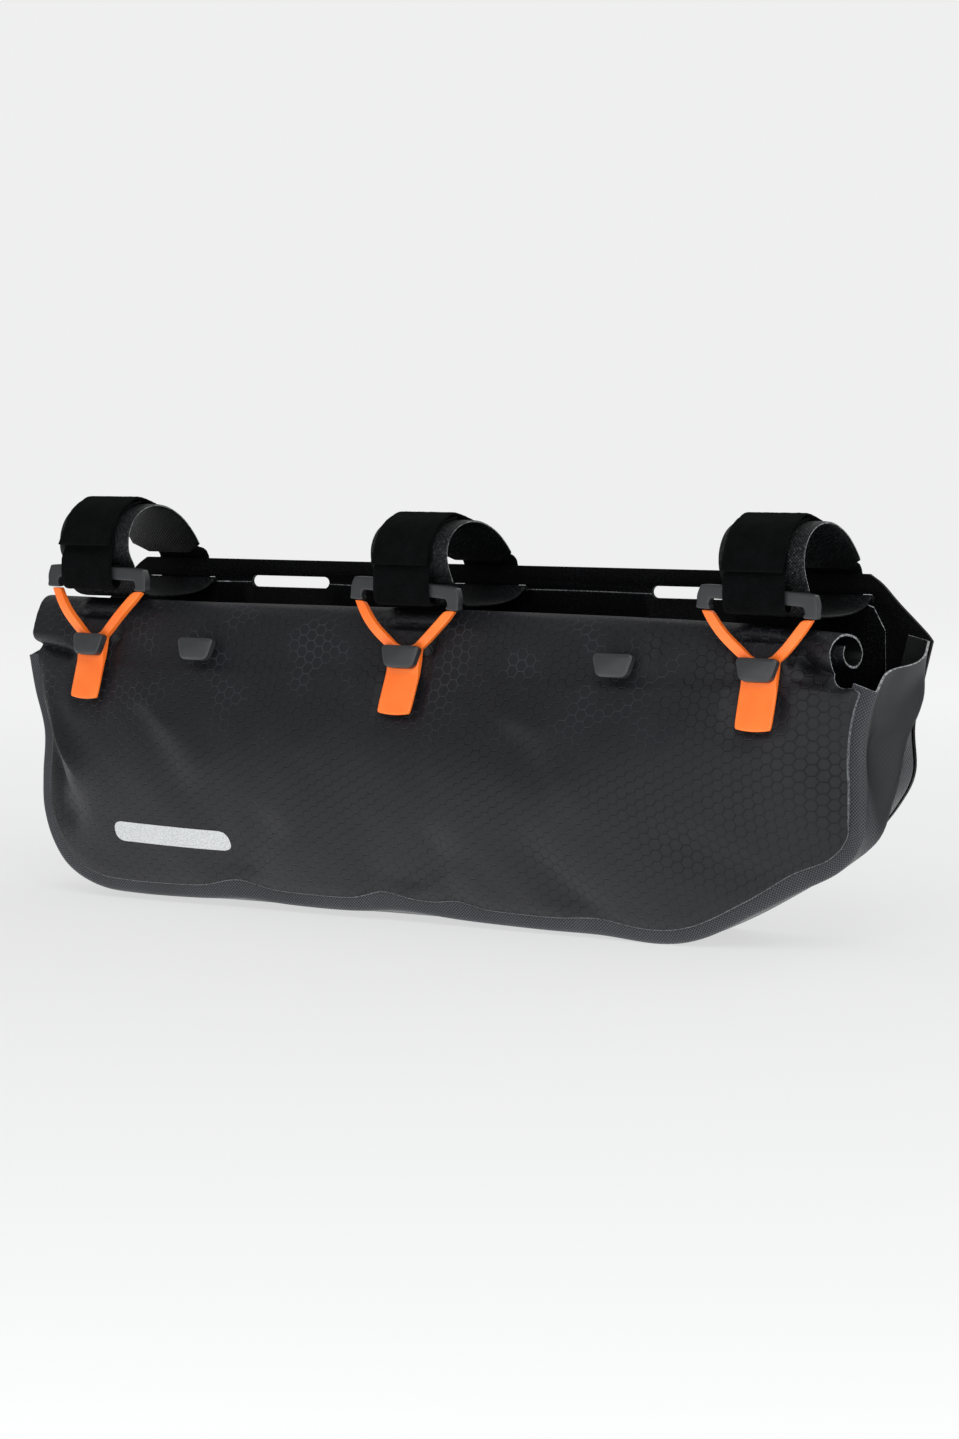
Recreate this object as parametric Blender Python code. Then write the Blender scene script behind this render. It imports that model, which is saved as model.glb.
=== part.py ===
import math
import bpy
import bmesh
import numpy as np

# Bicycle frame bag: a soft body of coated fabric with a rolled top edge,
# a stiff back panel with a slotted flange, three loops for a frame tube,
# three orange elastic pulls and five plastic hooks.
# Sizes are in millimetres, x along the bag, y towards the back, z up.

MM = 0.001

# Overall form
HALF_LENGTH = 203.0
MOUTH_FRONT_Z = 102.0
MOUTH_BACK_Z = 118.0
FLANGE_TOP_Z = 144.0
SAG = 2.8
SEAM_FRONT_Y = -23.7
SEAM_BACK_Y = 30.0
DEPTH = SEAM_BACK_Y - SEAM_FRONT_Y
CENTRE_X = 1.26
CENTRE_Y = -6.79

# Sheets
FABRIC = 1.2
CLEARANCE = 0.3
LIP = 10.0
LIP_CORNER = 2.0
SEAM_BORDER = 5.6
STIFF_PANEL = 2.0

# Front panel
BELLY = 15.0
PANEL_OUTER_Y = SEAM_FRONT_Y - CLEARANCE - FABRIC
ROLL_RIGHT_X = 184.5
ROLL_TAPER_Z = 84.0
ROLL_TAPER_TOP_Z = 103.0
FACE_ROUNDNESS = 0.8
SLOPE_FADE = 20.0
FOLDS_END_BELOW_PADS = 12.0
FOLDS_END_AT_SEAM = 8.0
COLUMN_PITCH = 12.0

# Hooks
HOOK_Z = 107.9
HOOK_TILT = math.radians(12.0)
PAD_HALF = 7.5
PAD_REACH = 9.0
HOOK_TOP_WIDTH = 18.4
HOOK_LOW_WIDTH = 13.0
HOOK_HEIGHT = 9.2
HOOK_CAP = 3.0
HOOK_STEM_WIDTH = 8.0
HOOK_STEM_HEIGHT = 4.6
PULL_THICKNESS = 3.2
PULL_PLAY = 0.4
HOOK_STEM = PULL_THICKNESS + 2.0 * PULL_PLAY
HOOK_EDGE = 0.7
HOOK_UNDERSIDE = 0.3
HOOK_ROUNDING = 0.48
CORNER_PULL = 0.29

# Straps
STRAP_PITCH = 158.0
SPARE_HOOK_X = 99.0
BAND_WIDTH = 36.0
BAND_OFFSET = 1.5
BAND_END_WIDTH = 23.0
BAND_CHAMFER = 4.5
BAND_CHAMFER_ROOM = 1.3
STRAP_WIDTH = 26.0
STRAP = 1.2
LAYER = STRAP + CLEARANCE
OUTER_BEHIND = 1.3
SLOT_LENGTH = BAND_WIDTH + 2.0 * BAND_OFFSET + 1.5
SLOT_HEIGHT = 5.0
SLOT_Z = 134.5
ARCH_SPRING_Z = 144.0
ARCH_DRAWN_Z = 165.0

# Bridge
BRIDGE_WIDTH = 52.0
BRIDGE_OFFSET = 1.0
BRIDGE_LOW_Z = 129.4
BRIDGE_TOP_Z = 140.5
BAR_HEIGHT = 5.5
POST_WIDTH = 6.4
ARM_INSET = 4.4
BRIDGE_Y = -35.8
BRIDGE_THICKNESS = 4.4
BRIDGE_EDGE = 0.6
HOLLOW_CORNER = 0.25
EDGE_ANGLE = math.radians(50.0)
# Half outline of the bridge
BRIDGE_OUTLINE = (
    # in from the side as a share of POST_WIDTH, up as a share of its height
    (1.00, 0.00),
    (0.16, 0.00),
    (0.00, 0.14),
    (0.00, 0.60),
    (0.25, 0.87),
    (0.72, 1.00),
)

# Elastic pull
ARM_WIDTH = 4.0
ARM_STAYS_LOW = 0.3
RING_HALF_WIDTH = 7.4
RING_UP = 5.2
RING_DOWN = 5.6
TAB_WIDTH = 15.6
TAB_END_Z = 86.3
TAB_CLEAR = 1.0
PULL_EDGE = 0.8
TAB_BOW = 0.8
TAB_REACH = 3.0
ARM_BOW = 0.45
ARM_ROOT = (0.78, 0.85)
ARM_STEPS = (0.25, 0.5, 0.75, 1.0)
# Half outline of the ring, and of its hole as shares of the hole's own half width and height
RING_OUTLINE = (
    # across as a share of RING_HALF_WIDTH, up as a share of RING_UP or down as one of RING_DOWN
    (1.00, -1.00),
    (1.03, 0.00),
    (1.00, 0.69),
    (0.57, 1.00),
)
RING_TOP = 0.88
HOLE_OUTLINE = (
    # across, up
    (1.00, -1.00),
    (1.00, 0.00),
    (1.00, 0.78),
    (0.82, 1.00),
)
TAB_ROWS = (
    # share of the way down, narrowing on each side in mm
    (0.30, 0.0),
    (0.65, 0.0),
    (0.93, 0.2),
    (1.00, 1.2),
)

# Rows of the gusset, from the left end of the mouth round the bottom to the right end.
# x as a share of HALF_LENGTH, z as a share of MOUTH_FRONT_Z or MOUTH_BACK_Z,
# swell of the wall at a quarter, half and three quarters of the depth as a share of DEPTH.
GUSSET_ROWS = (
    # name, front x, front z, back x, back z, swell 1, swell 2, swell 3
    ("left mouth", -0.995, 1.000, -1.000, 0.983, 0.000, -0.019, 0.019),
    ("left flare", -0.980, 0.853, -0.985, 0.797, -0.019, -0.056, 0.037),
    ("left pinch", -0.956, 0.676, -0.961, 0.627, 0.019, -0.019, 0.056),
    ("left side", -0.961, 0.490, -0.961, 0.458, 0.037, 0.037, 0.037),
    ("left lower", -0.959, 0.343, -0.959, 0.314, 0.037, 0.037, 0.019),
    ("left turn", -0.935, 0.201, -0.935, 0.182, 0.019, 0.019, 0.019),
    ("left round", -0.889, 0.088, -0.889, 0.081, 0.009, 0.009, 0.009),
    ("left foot", -0.810, 0.018, -0.810, 0.017, 0.000, 0.000, 0.000),
    ("floor", -0.709, 0.000, -0.709, -0.008, 0.000, 0.000, 0.000),
    ("floor", -0.552, 0.002, -0.552, -0.014, 0.000, 0.000, 0.000),
    ("pinch", -0.438, 0.014, -0.438, -0.008, 0.000, 0.000, 0.000),
    ("floor", -0.305, 0.003, -0.305, -0.017, 0.000, 0.000, 0.000),
    ("floor", -0.172, 0.002, -0.172, -0.019, 0.000, 0.000, 0.000),
    ("pinch", -0.054, 0.018, -0.044, -0.012, 0.000, 0.000, 0.000),
    ("floor", 0.099, 0.000, 0.099, -0.019, 0.000, 0.000, 0.000),
    ("floor", 0.271, -0.010, 0.271, -0.020, 0.000, 0.000, 0.000),
    ("pinch", 0.409, -0.012, 0.409, -0.017, 0.000, 0.000, 0.000),
    ("floor", 0.542, -0.027, 0.517, -0.024, 0.000, 0.000, 0.000),
    ("slant foot", 0.635, 0.008, 0.606, 0.012, 0.000, 0.000, 0.000),
    ("slant", 0.739, 0.111, 0.709, 0.105, 0.011, 0.015, 0.011),
    ("slant pinch", 0.840, 0.218, 0.796, 0.203, -0.011, -0.015, 0.007),
    ("slant top", 0.926, 0.310, 0.877, 0.326, 0.015, 0.022, 0.011),
    ("right turn", 0.970, 0.426, 0.936, 0.449, 0.037, 0.028, -0.037),
    ("right side", 0.975, 0.588, 0.966, 0.559, 0.019, 0.056, -0.037),
    ("right valley", 0.973, 0.745, 0.963, 0.712, -0.037, 0.056, 0.056),
    ("right flare", 0.980, 0.882, 0.980, 0.856, -0.046, 0.037, 0.093),
    ("right mouth", 0.998, 0.995, 1.000, 1.000, -0.028, 0.056, 0.065),
)
GUSSET_STEPS = 2
LEFT_TURN_ROW = 4
RIGHT_TURN_ROW = 23
FLOOR_ROWS = (8, 17)
FRONT_RISE = 1.5

# Upper corners of the flange, shares of HALF_LENGTH and of FLANGE_TOP_Z
FLANGE_CORNER = (
    # x, z
    (0.985, 0.845),
    (0.933, 0.932),
    (0.898, 0.979),
    (0.860, 1.000),
)

# Swell of the front panel along its length, x as a share of HALF_LENGTH, the rest shares of BELLY
PANEL_SWELL = (
    # x, swell of the face, swell at the hooks
    (-0.928, 0.00, 0.00),
    (-0.862, 0.38, 0.23),
    (-0.778, 0.66, 0.40),
    (-0.640, 0.86, 0.60),
    (-0.488, 0.97, 0.77),
    (-0.246, 1.02, 0.70),
    (0.000, 1.00, 0.57),
    (0.246, 1.02, 0.70),
    (0.488, 0.97, 0.77),
    (0.640, 0.86, 0.60),
    (0.778, 0.64, 0.40),
    (0.870, 0.38, 0.20),
    (0.953, 0.00, 0.00),
)

# Folds of the front panel: ends as shares of HALF_LENGTH and MOUTH_FRONT_Z, width and rise in mm
FOLDS = (
    # x from, z from, x to, z to, width, rise
    (-0.955, 0.84, -0.845, 0.52, 7.0, 2.6),
    (-0.930, 0.62, -0.860, 0.36, 9.0, -3.2),
    (-0.640, 0.98, -0.480, 0.60, 9.0, 1.6),
    (-0.600, 0.78, -0.520, 0.52, 9.0, -1.4),
    (0.110, 0.98, 0.330, 0.68, 11.0, -2.6),
    (0.260, 0.90, 0.420, 0.56, 12.0, 1.6),
    (0.830, 0.92, 0.945, 0.60, 7.0, -2.2),
    (0.790, 0.80, 0.880, 0.50, 9.0, 1.4),
    (-0.450, 0.05, -0.330, 0.34, 9.0, -2.4),
    (-0.060, 0.05, 0.060, 0.30, 9.0, -2.6),
    (0.410, 0.03, 0.300, 0.32, 10.0, -2.4),
    (0.800, 0.25, 0.640, 0.40, 9.0, -2.2),
)

# Places where the bottom seam is drawn up: x as a share of HALF_LENGTH, width and rise in mm
SEAM_WAVES = (
    # x, width, rise
    (-0.448, 12.0, 2.6),
    (-0.090, 9.0, 2.4),
    (0.090, 9.0, 2.2),
    (0.409, 12.0, 1.2),
    (0.830, 12.0, 1.6),
)

# The rolled edge seen from the end, from the top of the hook pads round to its free edge, mm
ROLL_DEPTH = 30.0
ROLL_HEIGHT = 10.0
ROLL_ROWS = (
    # y as a share of ROLL_DEPTH, z as a share of ROLL_HEIGHT
    (0.00, 0.00),
    (0.07, 0.50),
    (0.26, 0.94),
    (0.52, 1.00),
    (0.82, 0.70),
    (0.99, 0.05),
    (0.97, -0.55),
    (0.80, -0.90),
    (0.58, -0.82),
    (0.42, -0.45),
    (0.37, 0.00),
    (0.42, 0.38),
)
ROLL_STEPS = 13
ROLL_LIFT_LEFT = 1.22
ROLL_LIFT_RIGHT = 0.72

# Heights of the panel rows between its lower seam and the foot of the hook pads
FACE_ROWS = (0.0, 0.05, 0.12, 0.22, 0.34, 0.46, 0.58, 0.70, 0.80, 0.90, 1.0)

# The three sets of strap, bridge and pull
STRAPS = (
    # x as a share of STRAP_PITCH, top of the arch, lean of the finger tab
    (-1.0, 172.0, 0.8),
    (0.0, 167.4, 2.4),
    (1.0, 169.2, 1.0),
)

# Middle line of the wide band, y and z, from its tail behind the flange to its chamfered end
BAND_LINE = (
    (33.5, 120.0),
    (33.5, 130.0),
    (32.9, 133.4),
    (31.2, 134.6),
    (28.6, 133.9),
    (24.0, 131.0),
    (16.0, 129.4),
    (2.0, 129.0),
    (-12.0, 129.2),
    (-21.0, 130.0),
    (-26.4, 132.2),
    (-29.4, 135.6),
    (-31.2, 139.6),
    (-33.8, 144.4),
    (-35.4, 149.5),
    (-34.8, 155.0),
    (-31.0, 160.2),
    (-24.5, 163.6),
    (-16.0, 165.0),
    (-6.0, 164.0),
    (4.0, 160.4),
    (12.0, 155.2),
    (18.0, 149.6),
    (20.6, 146.8),
)
BAND_ARCH_FROM = 14
STRAP_TOP_AT = 18

# Middle line of the narrow strap where it turns round the bar of the bridge
STRAP_TURN = (
    (-32.4, 139.2),
    (-32.4, 134.5),
    (-33.4, 131.2),
    (-35.8, 129.8),
    (-38.2, 131.2),
    (-39.2, 134.6),
    (-39.2, 140.6),
    (-38.6, 145.2),
)

# Middle line of the outer strap behind the arch and its free front end
OUTER_TAIL = (
    (26.5, 149.0),
    (31.6, 147.6),
    (34.4, 144.0),
    (35.0, 138.0),
    (35.0, 128.0),
    (35.0, 118.0),
)
OUTER_FREE_END = (-41.4, 146.8)


def clear_scene():
    for item in list(bpy.data.objects):
        bpy.data.objects.remove(item, do_unlink=True)


def smooth_line(rows, steps):
    """Points of a Catmull-Rom curve through the rows, with this many steps a span."""
    rows = np.asarray(rows, float)
    padded = np.vstack([2 * rows[0] - rows[1], rows, 2 * rows[-1] - rows[-2]])
    points = []
    for i in range(len(rows) - 1):
        a, b, c, d = padded[i : i + 4]
        for k in range(steps):
            t = k / steps
            points.append(
                0.5 * (2 * b + (c - a) * t + (2 * a - 5 * b + 4 * c - d) * t**2
                       + (3 * b - a - 3 * c + d) * t**3)
            )
    points.append(rows[-1])
    return np.array(points)


def spread(line, count):
    """The same line with this many points at even spacing."""
    line = np.asarray(line, float)
    step = np.linalg.norm(np.diff(line, axis=0), axis=1)
    along = np.concatenate([[0.0], np.cumsum(step)])
    wanted = np.linspace(0.0, along[-1], count)
    return np.column_stack([np.interp(wanted, along, line[:, k]) for k in range(line.shape[1])])


def normals_2d(line):
    """Unit normals to the right of a line in its plane."""
    line = np.asarray(line, float)
    way = np.gradient(line, axis=0)
    way /= np.linalg.norm(way, axis=1)[:, None]
    return np.column_stack([way[:, 1], -way[:, 0]])


def material(name, colour, roughness):
    found = bpy.data.materials.new(name)
    found.use_nodes = True
    shader = found.node_tree.nodes["Principled BSDF"]
    shader.inputs["Base Color"].default_value = (*colour, 1.0)
    shader.inputs["Roughness"].default_value = roughness
    return found


def make_object(name, points, faces, colour, roughness, smooth=True):
    mesh = bpy.data.meshes.new(name)
    shifted = (np.asarray(points, float) - np.array([CENTRE_X, CENTRE_Y, -SAG])) * MM
    mesh.from_pydata([tuple(p) for p in shifted], [], [tuple(int(i) for i in f) for f in faces])
    made = bpy.data.objects.new(name, mesh)
    bpy.context.scene.collection.objects.link(made)
    mesh.materials.append(material(name + "_material", colour, roughness))
    body = bmesh.new()
    body.from_mesh(mesh)
    bmesh.ops.recalc_face_normals(body, faces=body.faces)
    body.to_mesh(mesh)
    body.free()
    if smooth:
        mesh.shade_smooth()
    return made


def grid_faces(rows, columns, flip=False):
    faces = []
    for i in range(rows - 1):
        for j in range(columns - 1):
            a = i * columns + j
            quad = (a, a + 1, a + columns + 1, a + columns)
            faces.append(quad[::-1] if flip else quad)
    return faces


def closed_sheet(name, outer, inner, colour, roughness):
    """A closed sheet between two grids of the same shape."""
    rows, columns = outer.shape[:2]
    count = rows * columns
    points = np.vstack([outer.reshape(-1, 3), inner.reshape(-1, 3)])
    faces = grid_faces(rows, columns)
    faces += [tuple(count + i for i in face[::-1]) for face in grid_faces(rows, columns)]
    rim = [j for j in range(columns)]
    rim += [i * columns + columns - 1 for i in range(1, rows)]
    rim += [(rows - 1) * columns + j for j in range(columns - 2, -1, -1)]
    rim += [i * columns for i in range(rows - 2, 0, -1)]
    for a, b in zip(rim, rim[1:] + rim[:1]):
        faces.append((b, a, a + count, b + count))
    return make_object(name, points, faces, colour, roughness)


def grid_normals(grid):
    down = np.gradient(grid, axis=0)
    along = np.gradient(grid, axis=1)
    normal = np.cross(down, along)
    return normal / np.linalg.norm(normal, axis=2)[:, :, None]


def loft(name, rings, colour, roughness, smooth=False):
    """A closed body through rings of the same number of points."""
    size = len(rings[0])
    points = np.vstack(rings)
    faces = [tuple(range(size))[::-1]]
    for k in range(len(rings) - 1):
        for j in range(size):
            n = (j + 1) % size
            faces.append((k * size + j, k * size + n, (k + 1) * size + n, (k + 1) * size + j))
    last = (len(rings) - 1) * size
    faces.append(tuple(last + j for j in range(size)))
    return make_object(name, points, faces, colour, roughness, smooth)


# The path of the gusset edge
def gusset_paths():
    rows = []
    for _, fx, fz, bx, bz, s1, s2, s3 in GUSSET_ROWS:
        rows.append((
            fx * HALF_LENGTH, fz * MOUTH_FRONT_Z, bx * HALF_LENGTH, bz * MOUTH_BACK_Z,
            s1 * DEPTH, s2 * DEPTH, s3 * DEPTH,
        ))
    dense = smooth_line(rows, GUSSET_STEPS)
    dense[:, 1] = np.maximum(dense[:, 1], -SAG)
    dense[:, 3] = np.maximum(dense[:, 3], -SAG)
    return dense


PATHS = gusset_paths()
FRONT_EDGE = PATHS[:, 0:2]
BACK_EDGE = PATHS[:, 2:4]
FRONT_OUT = normals_2d(FRONT_EDGE)
BACK_OUT = normals_2d(BACK_EDGE)
PANEL_EDGE = FRONT_EDGE - SEAM_BORDER * FRONT_OUT
LEFT_CUT = LEFT_TURN_ROW * GUSSET_STEPS
RIGHT_CUT = RIGHT_TURN_ROW * GUSSET_STEPS


def left_x(z):
    part = PANEL_EDGE[: LEFT_CUT + 1][::-1]
    return float(np.interp(z, part[:, 1], part[:, 0]))


def right_x(z):
    part = PANEL_EDGE[RIGHT_CUT:]
    edge = float(np.interp(z, part[:, 1], part[:, 0]))
    share = min(max((z - ROLL_TAPER_Z) / (ROLL_TAPER_TOP_Z - ROLL_TAPER_Z), 0.0), 1.0)
    share = share * share * (3.0 - 2.0 * share)
    return edge + (ROLL_RIGHT_X - edge) * share


def bottom_z(x):
    part = PANEL_EDGE[LEFT_CUT : RIGHT_CUT + 1]
    height = float(np.interp(x, part[:, 0], part[:, 1]))
    for share, width, rise in SEAM_WAVES:
        height += rise * math.exp(-(((x - share * HALF_LENGTH) / width) ** 2))
    return height


def hook_positions():
    return (-STRAP_PITCH, -SPARE_HOOK_X, 0.0, SPARE_HOOK_X, STRAP_PITCH)


SWELL_X = np.array([row[0] * HALF_LENGTH for row in PANEL_SWELL])
SWELL_LINE = smooth_line([(row[0] * HALF_LENGTH, row[1], row[2]) for row in PANEL_SWELL], 4)
PAD_LOW = HOOK_Z - PAD_HALF
PAD_HIGH = HOOK_Z + PAD_HALF


def swell(x, z):
    """How far the front panel stands in front of its seam at x and z."""
    left, right = left_x(z), right_x(z)
    for hook in hook_positions():
        if abs(x - hook) <= PAD_REACH and z >= PAD_LOW - 0.01:
            x = hook
            left, right = left_x(HOOK_Z), right_x(HOOK_Z)
    share = min(max((x - left) / (right - left), 0.0), 1.0)
    drawn = SWELL_X[0] + share * (SWELL_X[-1] - SWELL_X[0])
    face = BELLY * np.interp(drawn, SWELL_LINE[:, 0], SWELL_LINE[:, 1])
    pad = BELLY * np.interp(drawn, SWELL_LINE[:, 0], SWELL_LINE[:, 2])
    inset = min(share, 1.0 - share) * (right - left)
    slope = math.tan(HOOK_TILT) * min(inset / SLOPE_FADE, 1.0)
    if z >= PAD_LOW:
        return pad - (z - HOOK_Z) * slope
    low = bottom_z(x)
    t = min(max((z - low) / (PAD_LOW - low), 0.0), 1.0)
    ramp = t * t * (3.0 - 2.0 * t)
    out = face * math.sin(math.pi * t) ** FACE_ROUNDNESS + (pad + PAD_HALF * slope) * ramp
    quiet = min(1.0, (PAD_LOW - z) / FOLDS_END_BELOW_PADS)
    quiet *= min(1.0, inset / FOLDS_END_AT_SEAM) * min(1.0, (z - low) / FOLDS_END_AT_SEAM)
    for x0, z0, x1, z1, width, rise in FOLDS:
        a = np.array([x0 * HALF_LENGTH, z0 * MOUTH_FRONT_Z])
        b = np.array([x1 * HALF_LENGTH, z1 * MOUTH_FRONT_Z])
        p = np.array([x, z])
        along = np.clip(np.dot(p - a, b - a) / np.dot(b - a, b - a), 0.0, 1.0)
        away = np.linalg.norm(p - a - along * (b - a))
        out += quiet * rise * math.exp(-((away / width) ** 2))
    return max(out, 0.0)


def panel_y(x, z):
    return PANEL_OUTER_Y - swell(x, z)


def panel_columns():
    """Column positions along the panel: a pair at every hook, even ones between."""
    width = right_x(HOOK_Z) - left_x(HOOK_Z)
    stops = [left_x(HOOK_Z)]
    for hook in hook_positions():
        stops += [hook - PAD_HALF, hook + PAD_HALF]
    stops.append(right_x(HOOK_Z))
    columns = []
    for a, b in zip(stops, stops[1:]):
        parts = 1 if b - a < 2.5 * PAD_HALF else max(3, round((b - a) / COLUMN_PITCH))
        columns += [a + (b - a) * k / parts for k in range(parts)]
    columns.append(stops[-1])
    return [(x - stops[0]) / width for x in columns]


def front_panel():
    columns = panel_columns()
    left_low, right_low = PANEL_EDGE[LEFT_CUT], PANEL_EDGE[RIGHT_CUT]
    roll = spread(smooth_line(ROLL_ROWS, 6), ROLL_STEPS)
    grid = []
    lows = []
    for u in columns:
        if u <= 0.0:
            lows.append(left_low[1])
        elif u >= 1.0:
            lows.append(right_low[1])
        else:
            lows.append(bottom_z(left_low[0] + u * (right_low[0] - left_low[0])))
    for v in FACE_ROWS:
        row = []
        for u, low in zip(columns, lows):
            z = low + v * (PAD_LOW - low)
            x = left_x(z) + u * (right_x(z) - left_x(z))
            row.append((x, panel_y(x, z), z))
        grid.append(row)
    for share in roll:
        row = []
        for u in columns:
            x = left_x(PAD_HIGH) + u * (right_x(PAD_HIGH) - left_x(PAD_HIGH))
            lift = ROLL_LIFT_LEFT + (ROLL_LIFT_RIGHT - ROLL_LIFT_LEFT) * u**8
            y = panel_y(x, PAD_HIGH) + share[0] * ROLL_DEPTH
            row.append((x, y, PAD_HIGH + share[1] * ROLL_HEIGHT * lift))
        grid.append(row)
    outer = np.array(grid)
    inner = outer - FABRIC * sheet_inward(outer)
    return closed_sheet("front_panel", outer, inner, (0.024, 0.026, 0.031), 0.6)


def sheet_inward(outer):
    """Unit vectors out of the panel's face; its seam edges point straight forward."""
    normal = grid_normals(outer)
    if normal[len(FACE_ROWS) // 2, outer.shape[1] // 2, 1] > 0:
        normal = -normal
    face = len(FACE_ROWS)
    for edge in (normal[0], normal[:face, 0], normal[:face, -1]):
        edge[:] = (0.0, -1.0, 0.0)
    return normal


def gusset():
    outer_rows = []
    for k in range(len(PATHS)):
        front, back = FRONT_EDGE[k], BACK_EDGE[k]
        f_out, b_out = FRONT_OUT[k], BACK_OUT[k]
        row = []

        def add(base, inward, out, y):
            p = base - inward * out
            row.append((p[0], y, p[1]))

        add(front, LIP, f_out, SEAM_FRONT_Y)
        add(front, LIP_CORNER, f_out, SEAM_FRONT_Y)
        add(front, 0.3 * LIP_CORNER, f_out, SEAM_FRONT_Y + 0.3 * LIP_CORNER)
        add(front, 0.0, f_out, SEAM_FRONT_Y + LIP_CORNER)
        for share, column in ((0.25, 4), (0.5, 5), (0.75, 6)):
            base = front + share * (back - front)
            out = f_out + share * (b_out - f_out)
            p = base + PATHS[k, column] * out
            flat = FLOOR_ROWS[0] * GUSSET_STEPS <= k <= FLOOR_ROWS[1] * GUSSET_STEPS
            low = -SAG + (FRONT_RISE if share < 0.5 else 0.0)
            height = low if flat else max(p[1], -SAG)
            row.append((p[0], SEAM_FRONT_Y + share * DEPTH, height))
        add(back, 0.0, b_out, SEAM_BACK_Y - LIP_CORNER)
        add(back, 0.3 * LIP_CORNER, b_out, SEAM_BACK_Y - 0.3 * LIP_CORNER)
        add(back, LIP_CORNER, b_out, SEAM_BACK_Y)
        add(back, LIP, b_out, SEAM_BACK_Y)
        outer_rows.append(row)
    outer = np.array(outer_rows)
    normal = grid_normals(outer)
    centre = outer.mean(axis=1, keepdims=True).mean(axis=0, keepdims=True)
    if (normal * (outer - centre)).sum() < 0:
        normal = -normal
    normal[:, 0] = (0.0, -1.0, 0.0)
    normal[:, -1] = (0.0, 1.0, 0.0)
    inner = outer - FABRIC * normal
    return closed_sheet("gusset", outer, inner, (0.016, 0.017, 0.020), 0.55)


def rounded_slot(x, length, height):
    points = []
    radius = height / 2.0
    for side in (1, -1):
        for k in range(7):
            angle = math.pi * (k / 6.0 - 0.5)
            points.append((
                x + side * (length / 2.0 - radius + radius * math.cos(angle)),
                SLOT_Z + side * radius * math.sin(angle),
            ))
    return points


def prism(name, outline, y0, y1, colour, roughness):
    front = np.array([(p[0], y0, p[1]) for p in outline])
    back = np.array([(p[0], y1, p[1]) for p in outline])
    return loft(name, [front, back], colour, roughness)


def back_panel():
    outline = [tuple(p) for p in BACK_EDGE]
    corner = [(x * HALF_LENGTH, z * FLANGE_TOP_Z) for x, z in FLANGE_CORNER]
    outline += corner
    outline += [(-x, z) for x, z in corner[::-1]]
    near = SEAM_BACK_Y + CLEARANCE
    panel = prism("back_panel", outline, near, near + STIFF_PANEL, (0.012, 0.012, 0.014), 0.5)
    for number, x in enumerate(hook_positions()):
        cutter = prism(
            "slot_cutter_%d" % (number + 1), rounded_slot(x, SLOT_LENGTH, SLOT_HEIGHT),
            near - STIFF_PANEL, near + 2.0 * STIFF_PANEL, (0.5, 0.5, 0.5), 0.5,
        )
        cutter.hide_render = True
        cutter.display_type = "WIRE"
        cut = panel.modifiers.new("slot_%d" % (number + 1), "BOOLEAN")
        cut.operation = "DIFFERENCE"
        cut.solver = "EXACT"
        cut.object = cutter
    return panel


def strap_sheet(name, line, widths, x, colour, roughness):
    """A flat strap of even thickness along a line of y and z."""
    line = np.asarray(line, float)
    out = normals_2d(line) * STRAP / 2.0
    sides = []
    for offset in (out, -out):
        grid = []
        for (y, z), (dy, dz), width in zip(line, offset, widths):
            half = width / 2.0
            grid.append(((x - half, y + dy, z + dz), (x + half, y + dy, z + dz)))
        sides.append(np.array(grid))
    return closed_sheet(name, sides[0], sides[1], colour, roughness)


def raised(line, top):
    """The line with its arch raised or lowered to this top."""
    line = np.array(line, float)
    share = (top - ARCH_SPRING_Z) / (ARCH_DRAWN_Z - ARCH_SPRING_Z)
    above = line[:, 1] > ARCH_SPRING_Z
    line[above, 1] = ARCH_SPRING_Z + (line[above, 1] - ARCH_SPRING_Z) * share
    return line


def outward(line, first, last, distance):
    """Part of a line moved off by this distance, away from the middle of the arch."""
    out = normals_2d(line)
    middle = line[BAND_ARCH_FROM:].mean(axis=0)
    if np.dot(out[STRAP_TOP_AT], line[STRAP_TOP_AT] - middle) < 0:
        out = -out
    return [tuple(line[i] + out[i] * distance) for i in range(first, last)]


def strap_set(number, share, top):
    x = share * STRAP_PITCH
    band = raised(BAND_LINE, top - 2.0 * LAYER - STRAP / 2.0)
    dense = smooth_line(band, 2)
    end = dense[-1]
    way = (end - dense[-2]) / np.linalg.norm(end - dense[-2])
    kept = [p for p in dense if np.linalg.norm(p - end) > BAND_CHAMFER_ROOM * BAND_CHAMFER]
    dense = np.array(kept + [end - way * BAND_CHAMFER, end])
    widths = np.full(len(dense), BAND_WIDTH)
    widths[-1] = BAND_END_WIDTH
    strap_sheet("ring_band_%d" % number, dense, widths, x + BAND_OFFSET, (0.010, 0.010, 0.011), 0.32)

    inner = list(STRAP_TURN) + outward(band, BAND_ARCH_FROM, STRAP_TOP_AT + 1, LAYER)
    inner = smooth_line(inner, 2)
    strap_sheet(
        "loop_strap_%d" % number, inner, np.full(len(inner), STRAP_WIDTH), x,
        (0.006, 0.006, 0.007), 0.95,
    )

    over = [OUTER_FREE_END]
    over += outward(band, BAND_ARCH_FROM + 1, STRAP_TOP_AT + 1, 2.0 * LAYER)
    over += outward(band, STRAP_TOP_AT + 2, len(band) - 1, OUTER_BEHIND * LAYER)
    over += list(OUTER_TAIL)
    over = smooth_line(over, 2)
    strap_sheet(
        "hook_strap_%d" % number, over, np.full(len(over), STRAP_WIDTH), x,
        (0.006, 0.006, 0.007), 0.95,
    )


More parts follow.
